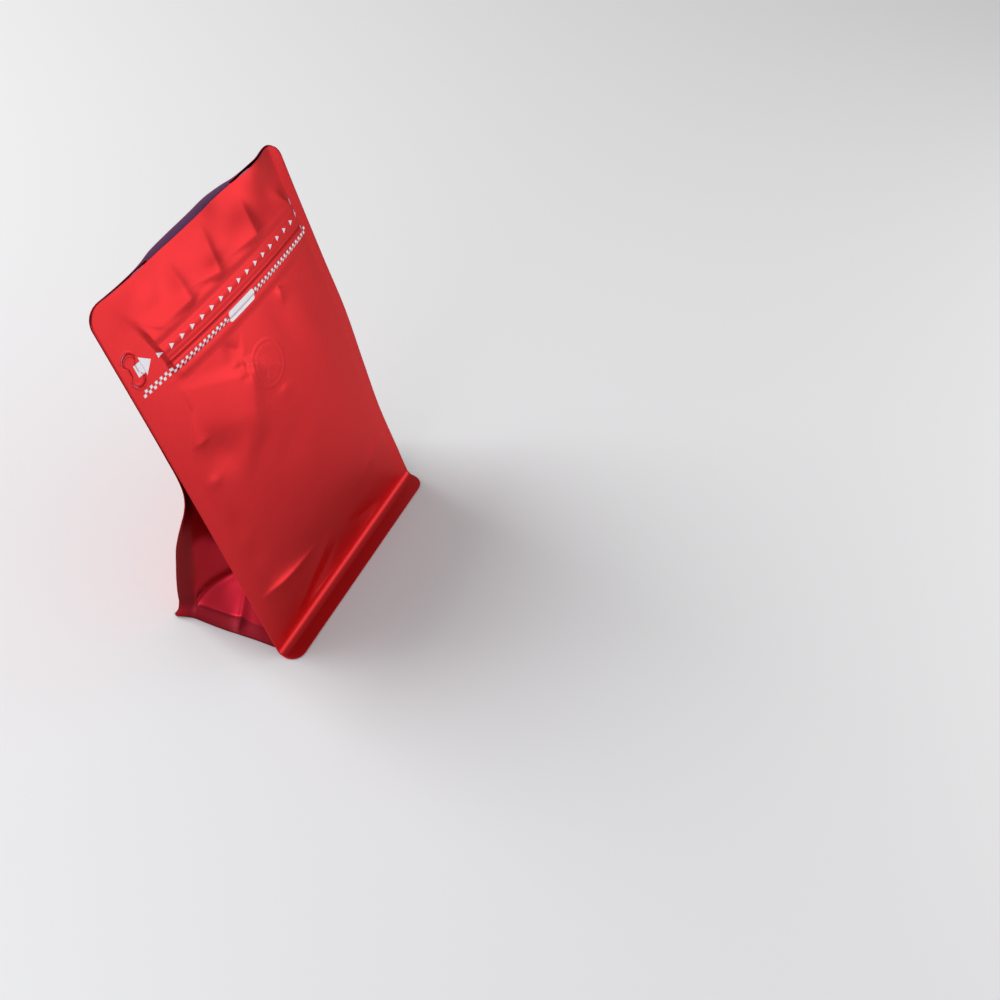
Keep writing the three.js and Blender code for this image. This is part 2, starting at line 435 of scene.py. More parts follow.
def normals(surface: Surface, u: Points, v: Points, facing: int) -> Points:
    """Unit normals of a surface over the film.

    Args:
        surface: Function of (u, v) that gives points.
        u: Across the film.
        v: Up the film.
        facing: +1 for the front, -1 for the back.

    Returns:
        Normals that point out of the bag.
    """
    low = np.maximum(v - NORMAL_STEP, 0)
    along_u = surface(u + NORMAL_STEP, v) - surface(u - NORMAL_STEP, v)
    cross = np.cross(along_u, surface(u, low + 2 * NORMAL_STEP) - surface(u, low))
    return facing * cross / lengths(cross)


# ---- embossed details of the front -----------------------------------------------


@dataclass(frozen=True)
class ZipRelief:
    """The rails that the zip presses into the front.

    Attributes:
        left: u at which the rails begin.
        right: u at which they end.
        low: v of the skin's lower border.
        high: v of its upper border.
        beyond_left: How far the skin goes on to the left of the rails.
        beyond_right: How far it goes on to their right.
        across_rate: How much slower distance counts across the band than up it.
        lower: v below which the rails' ends soften.
        upper: v above which they soften and splay.
        ramps: Length of the slope at the left end and at the right.
        profile: (v, height) of the rails.
    """

    left: float = 17.4
    right: float = 122.5
    low: float = 151.0
    high: float = 178.5
    beyond_left: float = 7.0
    beyond_right: float = 5.0
    across_rate: float = 1.4
    lower: float = 160.0
    upper: float = 175.0
    ramps: Pair = (2.4, 2.5)
    profile: tuple[Pair, ...] = (
        (151, 0), (152.5, 0.12), (154, 0.3), (155.2, 0.36), (156.2, 0.34), (156.8, 0.36),
        (157.3, 0.62), (157.9, 1.12), (158.4, 1.32), (159.2, 1.36), (161.5, 1.3), (162.1, 1.1),
        (162.7, 0.86), (163.2, 0.84), (164.8, 1.0), (165.8, 1.04), (167.2, 1.2), (168.2, 1.24),
        (169, 1.2), (170.4, 1.0), (171, 0.98), (172.2, 1.08), (173.6, 1.24), (174.4, 1.26),
        (175.4, 1.2), (177, 1.03), (179, 0.82), (184, 0.38), (189, 0.1), (193, 0),
    )

    def lift(self, u: Points, v: Points) -> Points:
        """Height of the rails at film places.

        Args:
            u: Across the film.
            v: Up the film.

        Returns:
            Millimetres outwards at each place.
        """
        above = np.clip(v - self.upper, 0, 15)
        below = np.clip(self.lower - v, 0, 8)
        begins = self.left + 0.2 * np.clip(self.upper - v, 0, 12) - 0.36 * above
        ends = ease((u - begins) / (self.ramps[0] + 0.25 * above + 0.6 * below))
        ends = ends * ease((self.right - u) / (self.ramps[1] + 0.8 * above + 0.6 * below))
        return ends * curve_through(v, self.profile)

    def inside(self, u: Points, v: Points, margin: float) -> Points:
        """1 well within the band, falling to 0 at a margin from its border."""
        return ease(self.from_border(u, v) / margin - 1.0)

    def from_border(self, u: Points, v: Points) -> Points:
        """Distance into the band from its border, counted less fast across than up."""
        du = np.minimum(u - self.left + self.beyond_left, self.right + self.beyond_right - u)
        return np.minimum(du / self.across_rate, np.minimum(v - self.low, self.high - v))


@dataclass(frozen=True)
class ValveRelief:
    """The one-way valve pressed through the film: a ring round a disc with pinholes.

    Attributes:
        centre: (u, v) of its middle.
        skin: Radius of the skin that carries it.
        profile: (radius, height) of the ring and the disc.
        hole_count: How many pinholes.
        hole_ring: Radius of the ring they stand on.
        hole_radius: Of a pinhole.
        hole_depth: Of a pinhole.
    """

    centre: Pair = (65.2, 128.1)
    skin: float = 15.6
    profile: tuple[Pair, ...] = (
        (0, 0.08), (6, 0.08), (8.2, 0.09), (8.9, 0.06), (9.6, 0.075), (10.3, 0.1), (11.0, 0.06),
        (11.6, 0.0), (12.4, -0.01), (13.8, 0),
    )
    hole_count: int = 6
    hole_ring: float = 4.2
    hole_radius: float = 0.38
    hole_depth: float = 0.045

    def lift(self, u: Points, v: Points) -> Points:
        """Height of the valve at film places.

        Args:
            u: Across the film.
            v: Up the film.

        Returns:
            Millimetres outwards at each place.
        """
        du, dv = u - self.centre[0], v - self.centre[1]
        height = curve_through(np.hypot(du, dv), self.profile)
        for i in range(self.hole_count):
            angle = 2 * math.pi * i / self.hole_count
            hole_u, hole_v = self.hole_ring * math.cos(angle), self.hole_ring * math.sin(angle)
            away = np.hypot(du - hole_u, dv - hole_v)
            height = height - self.hole_depth * np.exp(-((away / self.hole_radius) ** 4))
        return height

    def inside(self, u: Points, v: Points) -> Points:
        """1 well within the valve's skin, 0 at its border."""
        away = np.hypot(u - self.centre[0], v - self.centre[1])
        return ease((self.skin - away) / 1.2 - 2.0)


@dataclass(frozen=True)
class TabRelief:
    """The tear tab: a figure of eight cut through the front.

    Attributes:
        centre: (u, v) of its middle.
        lobe: Radius of its two lobes.
        reach: Distance from its middle to a lobe's middle.
        waist: Half its width at the middle.
        waist_limit: Largest reach of the waist's straight sides.
        skin: How many times as large as the tab its skin is.
        rings: (height, place, width) of the bead inside the cut, the cut and the rim outside it.
    """

    centre: Pair = (6.4, 169.4)
    lobe: float = 3.1
    reach: float = 4.3
    waist: float = 1.7
    waist_limit: float = 2.9
    skin: float = 1.7
    rings: tuple[Triple, ...] = ((0.16, 0.88, 0.07), (-0.28, 1.0, 0.035), (0.1, 1.1, 0.06))

    def radius(self, angle: Points) -> Points:
        """Distance from the tab's middle to its cut, in a direction.

        Args:
            angle: Direction from the middle, 0 along u.

        Returns:
            Millimetres from the middle to the cut.
        """
        along = np.abs(np.sin(angle)) * self.reach
        root = self.lobe**2 - (np.cos(angle) * self.reach) ** 2
        lobed = along + np.sqrt(np.maximum(root, 0))
        waisted = self.waist / np.maximum(np.abs(np.cos(angle)), 0.2)
        return mix(np.minimum(waisted, self.waist_limit), lobed, ease(root / 4.0))

    def place(self, u: Points, v: Points) -> Points:
        """Share of the way from the tab's middle to its cut."""
        du, dv = u - self.centre[0], v - self.centre[1]
        return np.hypot(du, dv) / self.radius(np.arctan2(dv, du))

    def lift(self, u: Points, v: Points) -> Points:
        """Height of the tab at film places.

        Args:
            u: Across the film.
            v: Up the film.

        Returns:
            Millimetres outwards at each place.
        """
        at = self.place(u, v)
        return sum(
            height * np.exp(-(((at - place) / width) ** 2)) for height, place, width in self.rings
        )

    def inside(self, u: Points, v: Points) -> Points:
        """1 well within the tab's skin, 0 at its border."""
        return ease((self.skin - self.place(u, v)) / 0.12 - 3.5)


@dataclass(frozen=True)
class SealMap:
    """Where a web is heat-sealed, and how the loose film puffs beside the seals.

    Attributes:
        left: (v, width) of the left seal.
        right: Width of the right seal.
        foot: Height of the bottom seal.
        web: Width of the web.
        puff: Height of the puffed film.
        puff_reach: Distance over which the film rises to it.
        soft: Width of the seals' soft border.
    """

    left: tuple[Pair, ...] = (
        (0, 7), (108, 7), (121, 9.2), (130, 15), (138, 20), (175, 20), (184, 15), (195, 9),
        (200, 8),
    )
    right: float = 7.0
    foot: float = 6.0
    web: float = 130.0
    puff: float = 0.15
    puff_reach: float = 2.2
    soft: float = 0.8

    def inner(self, u: Points, v: Points) -> Points:
        """Distance from the nearest seal into the loose film."""
        from_left = (u - np.interp(v, *np.array(self.left).T)) * 0.85
        return np.minimum(np.minimum(from_left, self.web - self.right - u), v - self.foot)

    def mask(self, u: Points, v: Points) -> Points:
        """1 on the seals, 0 on the loose film."""
        return 1 - ease(self.inner(u, v) / self.soft + 0.5)

    def lift(self, u: Points, v: Points) -> Points:
        """Height of the puffed film."""
        return self.puff * (1 - np.exp(-np.maximum(self.inner(u, v), 0) / self.puff_reach))


@dataclass(frozen=True)
class FrontFilm:
    """The printed front: its smooth form, creases and embossed details.

    Attributes:
        shape: The smooth form.
        seals: Its seals.
        band: The zip's rails.
        valve: The valve.
        tab: The tear tab.
        sink: How far the web sinks beneath the skins of these details.
        stiffness: How much of the creases' height the seals take away.
        lip_rise: Start and length of the rise, up the film, of the lip's wave.
        lip_wave: (u, height) of the wave that runs along the lip.
        folds: Its creases and dents.
    """

    shape: BagShape = BagShape()
    seals: SealMap = SealMap()
    band: ZipRelief = ZipRelief()
    valve: ValveRelief = ValveRelief()
    tab: TabRelief = TabRelief()
    sink: float = 0.3
    stiffness: float = 0.75
    lip_rise: Pair = (180, 20)
    lip_wave: tuple[Pair, ...] = (
        (0, 0), (8, 0.3), (14, 0.7), (28, 0.7), (40, 0.1), (53, 0.1), (70, -0.2), (83, -0.9),
        (90, -0.4), (98, 1.0), (105, 1.9), (112, 1.7), (121, -0.1), (130, 0),
    )
    folds: tuple[Crease | Dent, ...] = (
        # Film gathered between the lip and the zip.
        Crease(((22, 177), (31, 186)), 0.3, 4, 3, (0.2, 0.8), 1.5),
        Crease(((43.0, 173), (42.6, 199)), 1.3, 8, 3.2, (0.18, 0.75), 2.2),
        Crease(((61.6, 173), (67.6, 198)), 1.3, 8, 3.2, (0.18, 0.75), 2.2),
        Crease(((90.5, 173), (92.6, 197)), 1.4, 10, 3.2, (0.18, 0.75), 2.2),
        Dent((84, 184), (8, 13), 0.35),
        Dent((66, 184), (4, 8), -0.35, 80),
        Dent((110, 186), (8, 7), -0.5),
        Dent((28, 189), (7, 5), 0.5, 20),
        # The ridge that runs from the valve down and round a hollow.
        Crease(
            ((58, 139), (55, 134), (51.2, 127), (46.6, 118), (43.6, 107), (38, 98)),
            1.5, 6, 16, (0.2, 0.45), 3.0,
        ),
        Dent((22, 113), (8, 10), -1.0, 15),
        Crease(((10.5, 124.5), (22.5, 122.5)), 0.5, 3, 1.4, (0.5, 0.5), 0.8),
        Dent((35, 104), (5, 9), 0.5, -30),
        Dent((13.5, 104), (3.5, 3), 0.35),
        # Pinches that the valve makes in the film.
        Crease(((56, 141.5), (46, 152)), -0.6, 3, 2.2, (0.25, 0.6), 1.2),
        Crease(((53.6, 136.5), (44, 139.5)), 0.35, 1.5, 1.6, (0.2, 0.7), 0.8),
        Crease(((53.4, 131.5), (46, 133)), -0.25, 1.4, 1.6, (0.2, 0.7), 0.8),
        Crease(((68, 115), (66, 104)), 0.3, 3, 3, (0.3, 0.7), 1.5),
        Crease(((91, 151.5), (88.5, 141)), 0.5, 3.5, 1.6, (0.3, 0.6), 0.8),
        Dent((84, 134), (6, 16), -0.35, 15),
        Dent((101, 118), (8, 22), 0.45, 10),
        Dent((60, 88), (14, 10), -0.4, 30),
        Dent((13, 77), (4, 8), -0.35),
        Dent((14, 58), (4, 7), -0.35),
        # The fold of the flat base, pulled straight as the bag stands open.
        Crease(((3, 35.3), (12, 34.6), (26, 33), (52, 29.6)), 1.9, 3.0, 9, (0.4, 0.6), 0.25),
        Crease(((92, 33), (108, 36), (129, 41)), 0.35, 1.8, 5, (0.4, 0.1), 0.5),
        Crease(((20, 9), (34, 14), (50, 22), (64, 27)), 0.7, 5, 3, (0.3, 0.5), 1.2),
        Crease(((26, 7), (49.5, 12), (66, 20)), -0.8, 3, 3, (0.3, 0.5), 1.2),
        Crease(((103, 7), (84, 13), (70, 22)), -0.6, 3, 3, (0.3, 0.5), 1.2),
    )

    def under(self, u: Points, v: Points) -> Points:
        """How far the web sinks beneath the skins of its embossed details.

        Args:
            u: Across the film.
            v: Up the film.

        Returns:
            Millimetres inwards, 0 beside the skins.
        """
        return self.sink * np.maximum.reduce([
            self.band.inside(u, v, 2.4),
            self.valve.inside(u, v),
            self.tab.inside(u, v),
        ])

    def relief(self, u: Points, v: Points) -> Points:
        """Everything that stands out of the smooth form, in millimetres.

        Args:
            u: Across the film.
            v: Up the film.

        Returns:
            Millimetres outwards at each place.
        """
        wave = curve_through(u, self.lip_wave) * ramp(v, self.lip_rise)
        waves = wave + sum(fold.lift(u, v) for fold in self.folds)
        loose = 1 - self.stiffness * self.seals.mask(u, v) * ease((190 - v) / 10)
        height = waves * loose + self.seals.lift(u, v)
        return height + self.band.lift(u, v) + self.valve.lift(u, v) + self.tab.lift(u, v)

    def point(self, u: Points, v: Points, lift: float | Points = 0.0) -> Points:
        """A point of the finished front, or one lifted off it."""
        out = (self.relief(u, v) + lift)[..., None]
        return self.shape.front(u, v) + out * normals(self.shape.front, u, v, 1)

    def wall(self, u: Points, v: Points, lift: float) -> Points:
        """A point beside the front, going on straight below its fin.

        Args:
            u: Across the film.
            v: Up the film.
            lift: Millimetres out of the relief, negative inwards.

        Returns:
            (x, y, z) at each place.
        """
        smooth = self.shape.front_wall
        out = (self.relief(u, v) + lift)[..., None]
        return smooth(u, v) + out * normals(smooth, u, v, 1)


@dataclass(frozen=True)
class BackFilm:
    """The plain back: its smooth form, creases and seals.

    Attributes:
        front: The front that it is sealed to.
        seals: Its seals.
        stiffness: How much of the creases' height the seals take away.
        curl: How far its foot corners curl outwards.
        curl_size: Height and width of such a corner.
        lip_span: Start and length of the rise in which the web is eased to the lip's gap.
        flap_span: Start and length of the rise in which the flaps fade.
        flaps: (distance from the side edge, step forwards) beside the flared seals.
        folds: Its creases and dents.
    """

    front: FrontFilm = FrontFilm()
    seals: SealMap = SealMap(left=((0, 7), (200, 7)), puff=0.25)
    stiffness: float = 0.75
    curl: float = 3.4
    curl_size: Pair = (13, 11)
    lip_span: Pair = (140, 60)
    flap_span: Pair = (45, 55)
    flaps: tuple[Pair, ...] = (
        (0, 0), (3.5, 3.0), (7, 5.8), (9, 6.3), (12, 6.0), (24, 3.0), (38, 0.6), (50, 0),
    )
    folds: tuple[Crease | Dent, ...] = (
        Crease(((1, 39), (40, 38), (92, 38.5), (129, 39)), 0.6, 2, 5, (0.1, 0.1), 0.5),
        Crease(((30, 60), (48, 92), (52, 120)), 0.7, 6, 4, (0.4, 0.4), 2),
        Crease(((104, 64), (86, 96), (84, 128)), 0.6, 5, 6, (0.4, 0.4), 2),
        Crease(((26, 150), (60, 141), (98, 149)), -0.7, 4, 6, (0.4, 0.4), 2),
        Crease(((20, 12), (45, 24), (60, 33)), -0.6, 3, 3, (0.3, 0.5), 1.2),
        Crease(((108, 12), (86, 24), (72, 32)), -0.6, 3, 3, (0.3, 0.5), 1.2),
        Dent((66, 76), (18, 12), 0.7, 20),
        Dent((36, 172), (10, 7), 0.5, -20),
        Dent((88, 176), (12, 6), 0.5, 10),
        Dent((24, 108), (6, 12), -0.5, 20),
        Dent((110, 104), (6, 12), -0.5, -15),
    )

    def flap(self, u: Points, v: Points) -> Points:
        """How far the web stands in front of its edge, beside the flared seals."""
        from_edge = np.minimum(u, self.front.shape.width - u)
        return curve_through(from_edge, self.flaps) * (1 - ramp(v, self.flap_span))

    def smooth(self, u: Points, v: Points) -> Points:
        """The back's form, eased to the lips' measured gap at the mouth."""
        at = self.front.shape.back(u, v)
        return self.to_lip(at, u, v)

    def smooth_wall(self, u: Points, v: Points) -> Points:
        """The same without the bottom fin."""
        return self.to_lip(self.front.shape.back_wall(u, v), u, v)

    def to_lip(self, at: Points, u: Points, v: Points) -> Points:
        """Moves points near the mouth so that the gap between the lips is as measured."""
        at[..., 1] += np.interp(u, *self.lip_shift) * ramp(v, self.lip_span) - self.flap(u, v)
        return at

    @cached_property
    def lip_shift(self) -> tuple[Points, Points]:
        """Places across the lip, and how far the back's lip moves at each.

        Returns:
            Places across the lip and the move at each.
        """
        shape = self.front.shape
        u = np.linspace(0, shape.width, 400)
        v = np.full_like(u, shape.height)
        wanted = self.front.wall(u, v, 0.0)[:, 1] + curve_through(u, shape.lip_gaps)
        return u, wanted - shape.back_wall(u, v)[:, 1]

    def relief(self, u: Points, v: Points) -> Points:
        """Everything that stands out of the smooth form, in millimetres."""
        waves = sum(fold.lift(u, v) for fold in self.folds)
        return waves * (1 - self.stiffness * self.seals.mask(u, v)) + self.seals.lift(u, v)

    def point(self, u: Points, v: Points, lift: float = 0.0) -> Points:
        """A point of the finished back, or one lifted off it, with curled foot corners.

        Args:
            u: Across the film.
            v: Up the film.
            lift: Millimetres out of the relief, negative inwards.

        Returns:
            (x, y, z) at each place.
        """
        out = (self.relief(u, v) + lift)[..., None]
        at = self.smooth(u, v) + out * normals(self.smooth, u, v, -1)
        high, wide = self.curl_size
        for sign, from_edge in ((-1, u), (1, self.front.shape.width - u)):
            at[..., 0] += sign * self.curl * ease(1 - v / high) * ease(1 - from_edge / wide)
        return at

    def wall(self, u: Points, v: Points, lift: float) -> Points:
        """A point beside the back, going on straight below its fin."""
        out = (self.relief(u, v) + lift)[..., None]
        return self.smooth_wall(u, v) + out * normals(self.smooth_wall, u, v, -1)


# ---- meshes ----------------------------------------------------------------------


def new_object(name: str, points: Points, faces: Faces, film: Points) -> bpy.types.Object:
    """Makes a smooth-shaded mesh object.

    Args:
        name: Name of the piece.
        points: Places in millimetres, (x, y, z) along the last axis.
        faces: Vertex numbers of each face.
        film: Film place (u, v) and seal mask of each vertex.

    Returns:
        The linked object.
    """
    mesh = bpy.data.meshes.new(name)
    mesh.from_pydata((points.reshape(-1, 3) * MM).tolist(), [], faces)
    mesh.attributes.new("film", "FLOAT_VECTOR", "POINT").data.foreach_set(
        "vector", film.astype(np.float32).ravel()
    )
    mesh.polygons.foreach_set("use_smooth", np.ones(len(mesh.polygons), bool))
    mesh.update()
    piece = bpy.data.objects.new(name, mesh)
    bpy.context.scene.collection.objects.link(piece)
    return piece


def grid_faces(rows: int, columns: int, facing: int) -> Faces:
    """Quads over a grid of points, turned to face out of the bag.

    Args:
        rows: Rows of the grid.
        columns: Columns of the grid.
        facing: +1 where rising rows and columns face out, -1 where they face in.

    Returns:
        Vertex numbers of each quad.
    """
    ids = np.arange(rows * columns).reshape(rows, columns)
    corners = [ids[:-1, :-1], ids[:-1, 1:], ids[1:, 1:], ids[1:, :-1]]
    quads = np.stack(corners, -1).reshape(-1, 4)
    return (quads if facing > 0 else quads[:, ::-1]).tolist()


def thicken(piece: bpy.types.Object, thickness: float) -> None:
    """Gives a sheet its inner face, in the second material slot.

    Args:
        piece: The sheet, whose faces are its outer side.
        thickness: In millimetres, inwards.
    """
    solid = piece.modifiers.new("thickness", "SOLIDIFY")
    solid.thickness = thickness * MM
    solid.offset = -1
    solid.material_offset = 1
    solid.use_rim = True


def enlist(piece: bpy.types.Object, slot: Slot, *nodes: str) -> bpy.types.Object:
    """Tells the frame what a piece rides on and stands for.

    Args:
        piece: The piece.
        slot: Its material slot. Not used.
        *nodes: The frame's nodes that it stands for, if any.

    Returns:
        The same piece.
    """
    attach(piece, BODY)
    if nodes:
        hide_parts(*nodes)
    faces, stands_for = len(piece.data.polygons), ", ".join(nodes) or "trim"
    LOG.info("%s: %d faces for %s", piece.name, faces, stands_for)
    return piece


# ---- shader groups ---------------------------------------------------------------


class ShaderGroup:
    """A node group with named sockets that materials share."""

    def __init__(self, name: str) -> None:
        """Starts an empty group.

        Args:
            name: Name of the group.
        """
        self.tree = bpy.data.node_groups.new(name, "ShaderNodeTree")
        self.inlet = self.tree.nodes.new("NodeGroupInput")
        self.outlet = self.tree.nodes.new("NodeGroupOutput")

    def socket(self, name: str, way: str, kind: str = "Float", value: object = None) -> None:
        """Adds a socket.

        Args:
            name: Its label.
            way: INPUT or OUTPUT.
            kind: Float, Color or Vector.
            value: Default value, if it has one.
        """
        made = self.tree.interface.new_socket(name, in_out=way, socket_type="NodeSocket" + kind)
        if value is not None:
            made.default_value = value

    def node(self, kind: str, **values: object) -> bpy.types.Node:
        """Adds a node. Values name its properties or, with in_ before them, its inputs."""
        return add_node(self.tree, kind, **values)

    def link(self, source: bpy.types.NodeSocket, target: bpy.types.NodeSocket) -> None:
        """Joins two sockets."""
        self.tree.links.new(source, target)

    def math(self, operation: str, a: object, b: object = 0.0) -> bpy.types.NodeSocket:
        """Adds a Math node whose inputs are sockets or numbers.

        Args:
            operation: Blender's name of the operation.
            a: First input.
            b: Second input.

        Returns:
            The result's socket.
        """
        made = self.node("ShaderNodeMath", operation=operation)
        for place, value in zip(made.inputs, (a, b)):
            if isinstance(value, (int, float)):
                place.default_value = value
            else:
                self.link(value, place)
        return made.outputs[0]


def add_node(tree: bpy.types.NodeTree, kind: str, **values: object) -> bpy.types.Node:
    """Adds a node to a tree.

    Args:
        tree: The material's or the group's tree.
        kind: Blender's name of the node type.
        **values: Properties by name, and inputs by name with in_ before it and _ for spaces.

    Returns:
        The new node.
    """
    made = tree.nodes.new(kind)
    for key, value in values.items():
        if key.startswith("in_"):
            made.inputs[key[3:].replace("_", " ")].default_value = value
        else:
            setattr(made, key, value)
    return made


def film_place(group: ShaderGroup) -> tuple[bpy.types.NodeSocket, bpy.types.NodeSocket]:
    """The film attribute inside a group.

    Args:
        group: The group that reads it.

    Returns:
        Its vector (u, v, seal) and its separated seal mask.
    """
    film = group.node("ShaderNodeAttribute", attribute_name="film")
    parts = group.node("ShaderNodeSeparateXYZ")
    group.link(film.outputs["Vector"], parts.inputs[0])
    return film.outputs["Vector"], parts.outputs["Z"]


def build_grain() -> bpy.types.NodeTree:
    """The fine grain and the cloudy tone of matt laminated film.

    Returns:
        A group that gives a height for bump, a tone mask and a scuff mask.
    """
    group = ShaderGroup("film_grain")
    group.socket("Grain Size", "INPUT", value=0.35)
    group.socket("Cloud Size", "INPUT", value=14.0)
    group.socket("Height", "OUTPUT")
    group.socket("Tone", "OUTPUT")
    group.socket("Scuff", "OUTPUT")
    coords = group.node("ShaderNodeTexCoord")
    scaled = group.node("ShaderNodeVectorMath", operation="SCALE")
    group.link(coords.outputs["Object"], scaled.inputs[0])
    scaled.inputs["Scale"].default_value = 1 / MM
    found = {}
    for key, socket, detail in (("Height", "Grain Size", 3.0), ("Tone", "Cloud Size", 4.0)):
        noise = group.node("ShaderNodeTexNoise", in_Detail=detail, in_Roughness=0.6)
        group.link(scaled.outputs[0], noise.inputs["Vector"])
        group.link(group.math("DIVIDE", 1.0, group.inlet.outputs[socket]), noise.inputs["Scale"])
        found[key] = noise.outputs["Fac"]
        group.link(noise.outputs["Fac"], group.outlet.inputs[key])
    streak = group.node("ShaderNodeTexNoise", in_Scale=0.22, in_Detail=8.0, in_Roughness=0.72)
    group.link(scaled.outputs[0], streak.inputs["Vector"])
    scuff = group.node("ShaderNodeMapRange", in_From_Min=0.62, in_From_Max=0.78)
    group.link(streak.outputs["Fac"], scuff.inputs["Value"])
    group.link(scuff.outputs[0], group.outlet.inputs["Scuff"])
    return group.tree


def build_knurl() -> bpy.types.NodeTree:
    """The fine ribs that the heated bars press into the seals.

    Returns:
        A group that gives a height for bump and the seal mask.
    """
    group = ShaderGroup("seal_knurl")
    group.socket("Pitch", "INPUT", value=0.8)
    group.socket("Height", "OUTPUT")
    group.socket("Seal", "OUTPUT")
    place, seal = film_place(group)
    wave = group.node(
        "ShaderNodeTexWave", wave_type="BANDS", bands_direction="X",
        in_Distortion=0.6, in_Detail=1.0,
    )
    scale = group.math("DIVIDE", RIB_SCALE, group.inlet.outputs["Pitch"])
    group.link(place, wave.inputs["Vector"])
    group.link(scale, wave.inputs["Scale"])
    group.link(group.math("MULTIPLY", wave.outputs["Fac"], seal), group.outlet.inputs["Height"])
    group.link(seal, group.outlet.inputs["Seal"])
    return group.tree


def build_edge_wear() -> bpy.types.NodeTree:
    """The paler line where film is cut or sharply creased.

    Returns:
        A group that turns a colour into its worn colour near a cut edge.
    """
    group = ShaderGroup("edge_wear")
    group.socket("Color", "INPUT", "Color", (0.5, 0.5, 0.5, 1))
    group.socket("Worn Color", "INPUT", "Color", (0.8, 0.8, 0.8, 1))
    group.socket("Amount", "INPUT", value=0.5)
    group.socket("Color", "OUTPUT", "Color")
    bent = group.node("ShaderNodeNewGeometry")
    sharp = group.node("ShaderNodeMapRange", in_From_Min=0.53, in_From_Max=0.62)
    group.link(bent.outputs["Pointiness"], sharp.inputs["Value"])
    blend = group.node("ShaderNodeMix", data_type="RGBA")
    factor = group.math("MULTIPLY", sharp.outputs[0], group.inlet.outputs["Amount"])
    group.link(factor, blend.inputs["Factor"])
    group.link(group.inlet.outputs["Color"], blend.inputs["A"])
    group.link(group.inlet.outputs["Worn Color"], blend.inputs["B"])
    group.link(blend.outputs["Result"], group.outlet.inputs["Color"])
    return group.tree


@dataclass(frozen=True)
class Effects:
    """The shader groups that the finishes share."""

    grain: bpy.types.NodeTree
    knurl: bpy.types.NodeTree
    wear: bpy.types.NodeTree

    @classmethod
    def build(cls) -> "Effects":
        """Makes each group once."""
        return cls(build_grain(), build_knurl(), build_edge_wear())


# ---- finishes --------------------------------------------------------------------


@dataclass(frozen=True)
class FoilFinish:
    """Satin metallised film, printed or bare.

    Attributes:
        name: Name of the material.
        color: Its colour where the film is clean.
        cloud_color: The slightly different tone that clouds it.
        edge_tint: Colour of its reflections at a slant.
        roughness: Of the loose film.
        seal_roughness: Of the knurled seals.
        metallic: How metallic it is.
        coat: Weight of the clear layer over the ink.
        coat_roughness: Roughness of that layer.
        grain: Strength of the fine grain.
        knurl: Strength of the seals' ribs.
        scuff: How much rougher the scuffed film is.
        seal_painted_shade: Painted shade on the sealed film: its brightness as a share of the
            loose film's.
    """

    name: str
    color: Triple
    cloud_color: Triple
    edge_tint: Triple = (0.95, 0.3, 0.3)
    roughness: float = 0.38
    seal_roughness: float = 0.42
    metallic: float = 1.0
    coat: float = 0.4
    coat_roughness: float = 0.35
    grain: float = 0.2
    knurl: float = 0.25
    scuff: float = 0.06
    seal_painted_shade: float = 1.0

    def build(self, effects: Effects) -> bpy.types.Material:
        """Makes the material.

        Args:
            effects: The shared shader groups.

        Returns:
            The new material.
        """
        material = bpy.data.materials.new(self.name)
        material.use_nodes = True
        tree = material.node_tree
        shader = tree.nodes["Principled BSDF"]
        shader.inputs["Metallic"].default_value = self.metallic
        shader.inputs["Coat Weight"].default_value = self.coat
        shader.inputs["Coat Roughness"].default_value = self.coat_roughness
        shader.inputs["Specular Tint"].default_value = (*self.edge_tint, 1)
        grain = add_node(tree, "ShaderNodeGroup", node_tree=effects.grain)
        knurl = add_node(tree, "ShaderNodeGroup", node_tree=effects.knurl)
        wear = add_node(tree, "ShaderNodeGroup", node_tree=effects.wear)
        blend = add_node(tree, "ShaderNodeMix", data_type="RGBA")
        blend.inputs["A"].default_value = (*self.color, 1)
        blend.inputs["B"].default_value = (*self.cloud_color, 1)
        tree.links.new(grain.outputs["Tone"], blend.inputs["Factor"])
        tree.links.new(blend.outputs["Result"], wear.inputs["Color"])
        worn = tuple(min(1.0, 1.3 * part + 0.05) for part in self.color)
        wear.inputs["Worn Color"].default_value = (*worn, 1)
        # Painted shade: the seal mask mixes the film's colour towards a darker one.
        sealed = add_node(tree, "ShaderNodeMix", data_type="RGBA")
        sealed.inputs["B"].default_value = (*(self.seal_painted_shade * part for part in self.color), 1)
        tree.links.new(knurl.outputs["Seal"], sealed.inputs["Factor"])
        tree.links.new(wear.outputs["Color"], sealed.inputs["A"])
        tree.links.new(sealed.outputs["Result"], shader.inputs["Base Color"])
        rough = add_node(tree, "ShaderNodeMapRange", in_To_Min=self.roughness)
        rough.inputs["To Max"].default_value = self.seal_roughness
        tree.links.new(knurl.outputs["Seal"], rough.inputs["Value"])
        scuffed = add_node(tree, "ShaderNodeMath", operation="MULTIPLY_ADD")
        scuffed.inputs[1].default_value = self.scuff
        tree.links.new(grain.outputs["Scuff"], scuffed.inputs[0])
        tree.links.new(rough.outputs[0], scuffed.inputs[2])
        tree.links.new(scuffed.outputs[0], shader.inputs["Roughness"])
        ribs = add_node(tree, "ShaderNodeBump", in_Strength=self.knurl, in_Distance=0.1 * MM)
        fine = add_node(tree, "ShaderNodeBump", in_Strength=self.grain, in_Distance=0.05 * MM)
        tree.links.new(knurl.outputs["Height"], ribs.inputs["Height"])
        tree.links.new(grain.outputs["Height"], fine.inputs["Height"])
        tree.links.new(ribs.outputs[0], fine.inputs["Normal"])
        tree.links.new(fine.outputs[0], shader.inputs["Normal"])
        return material


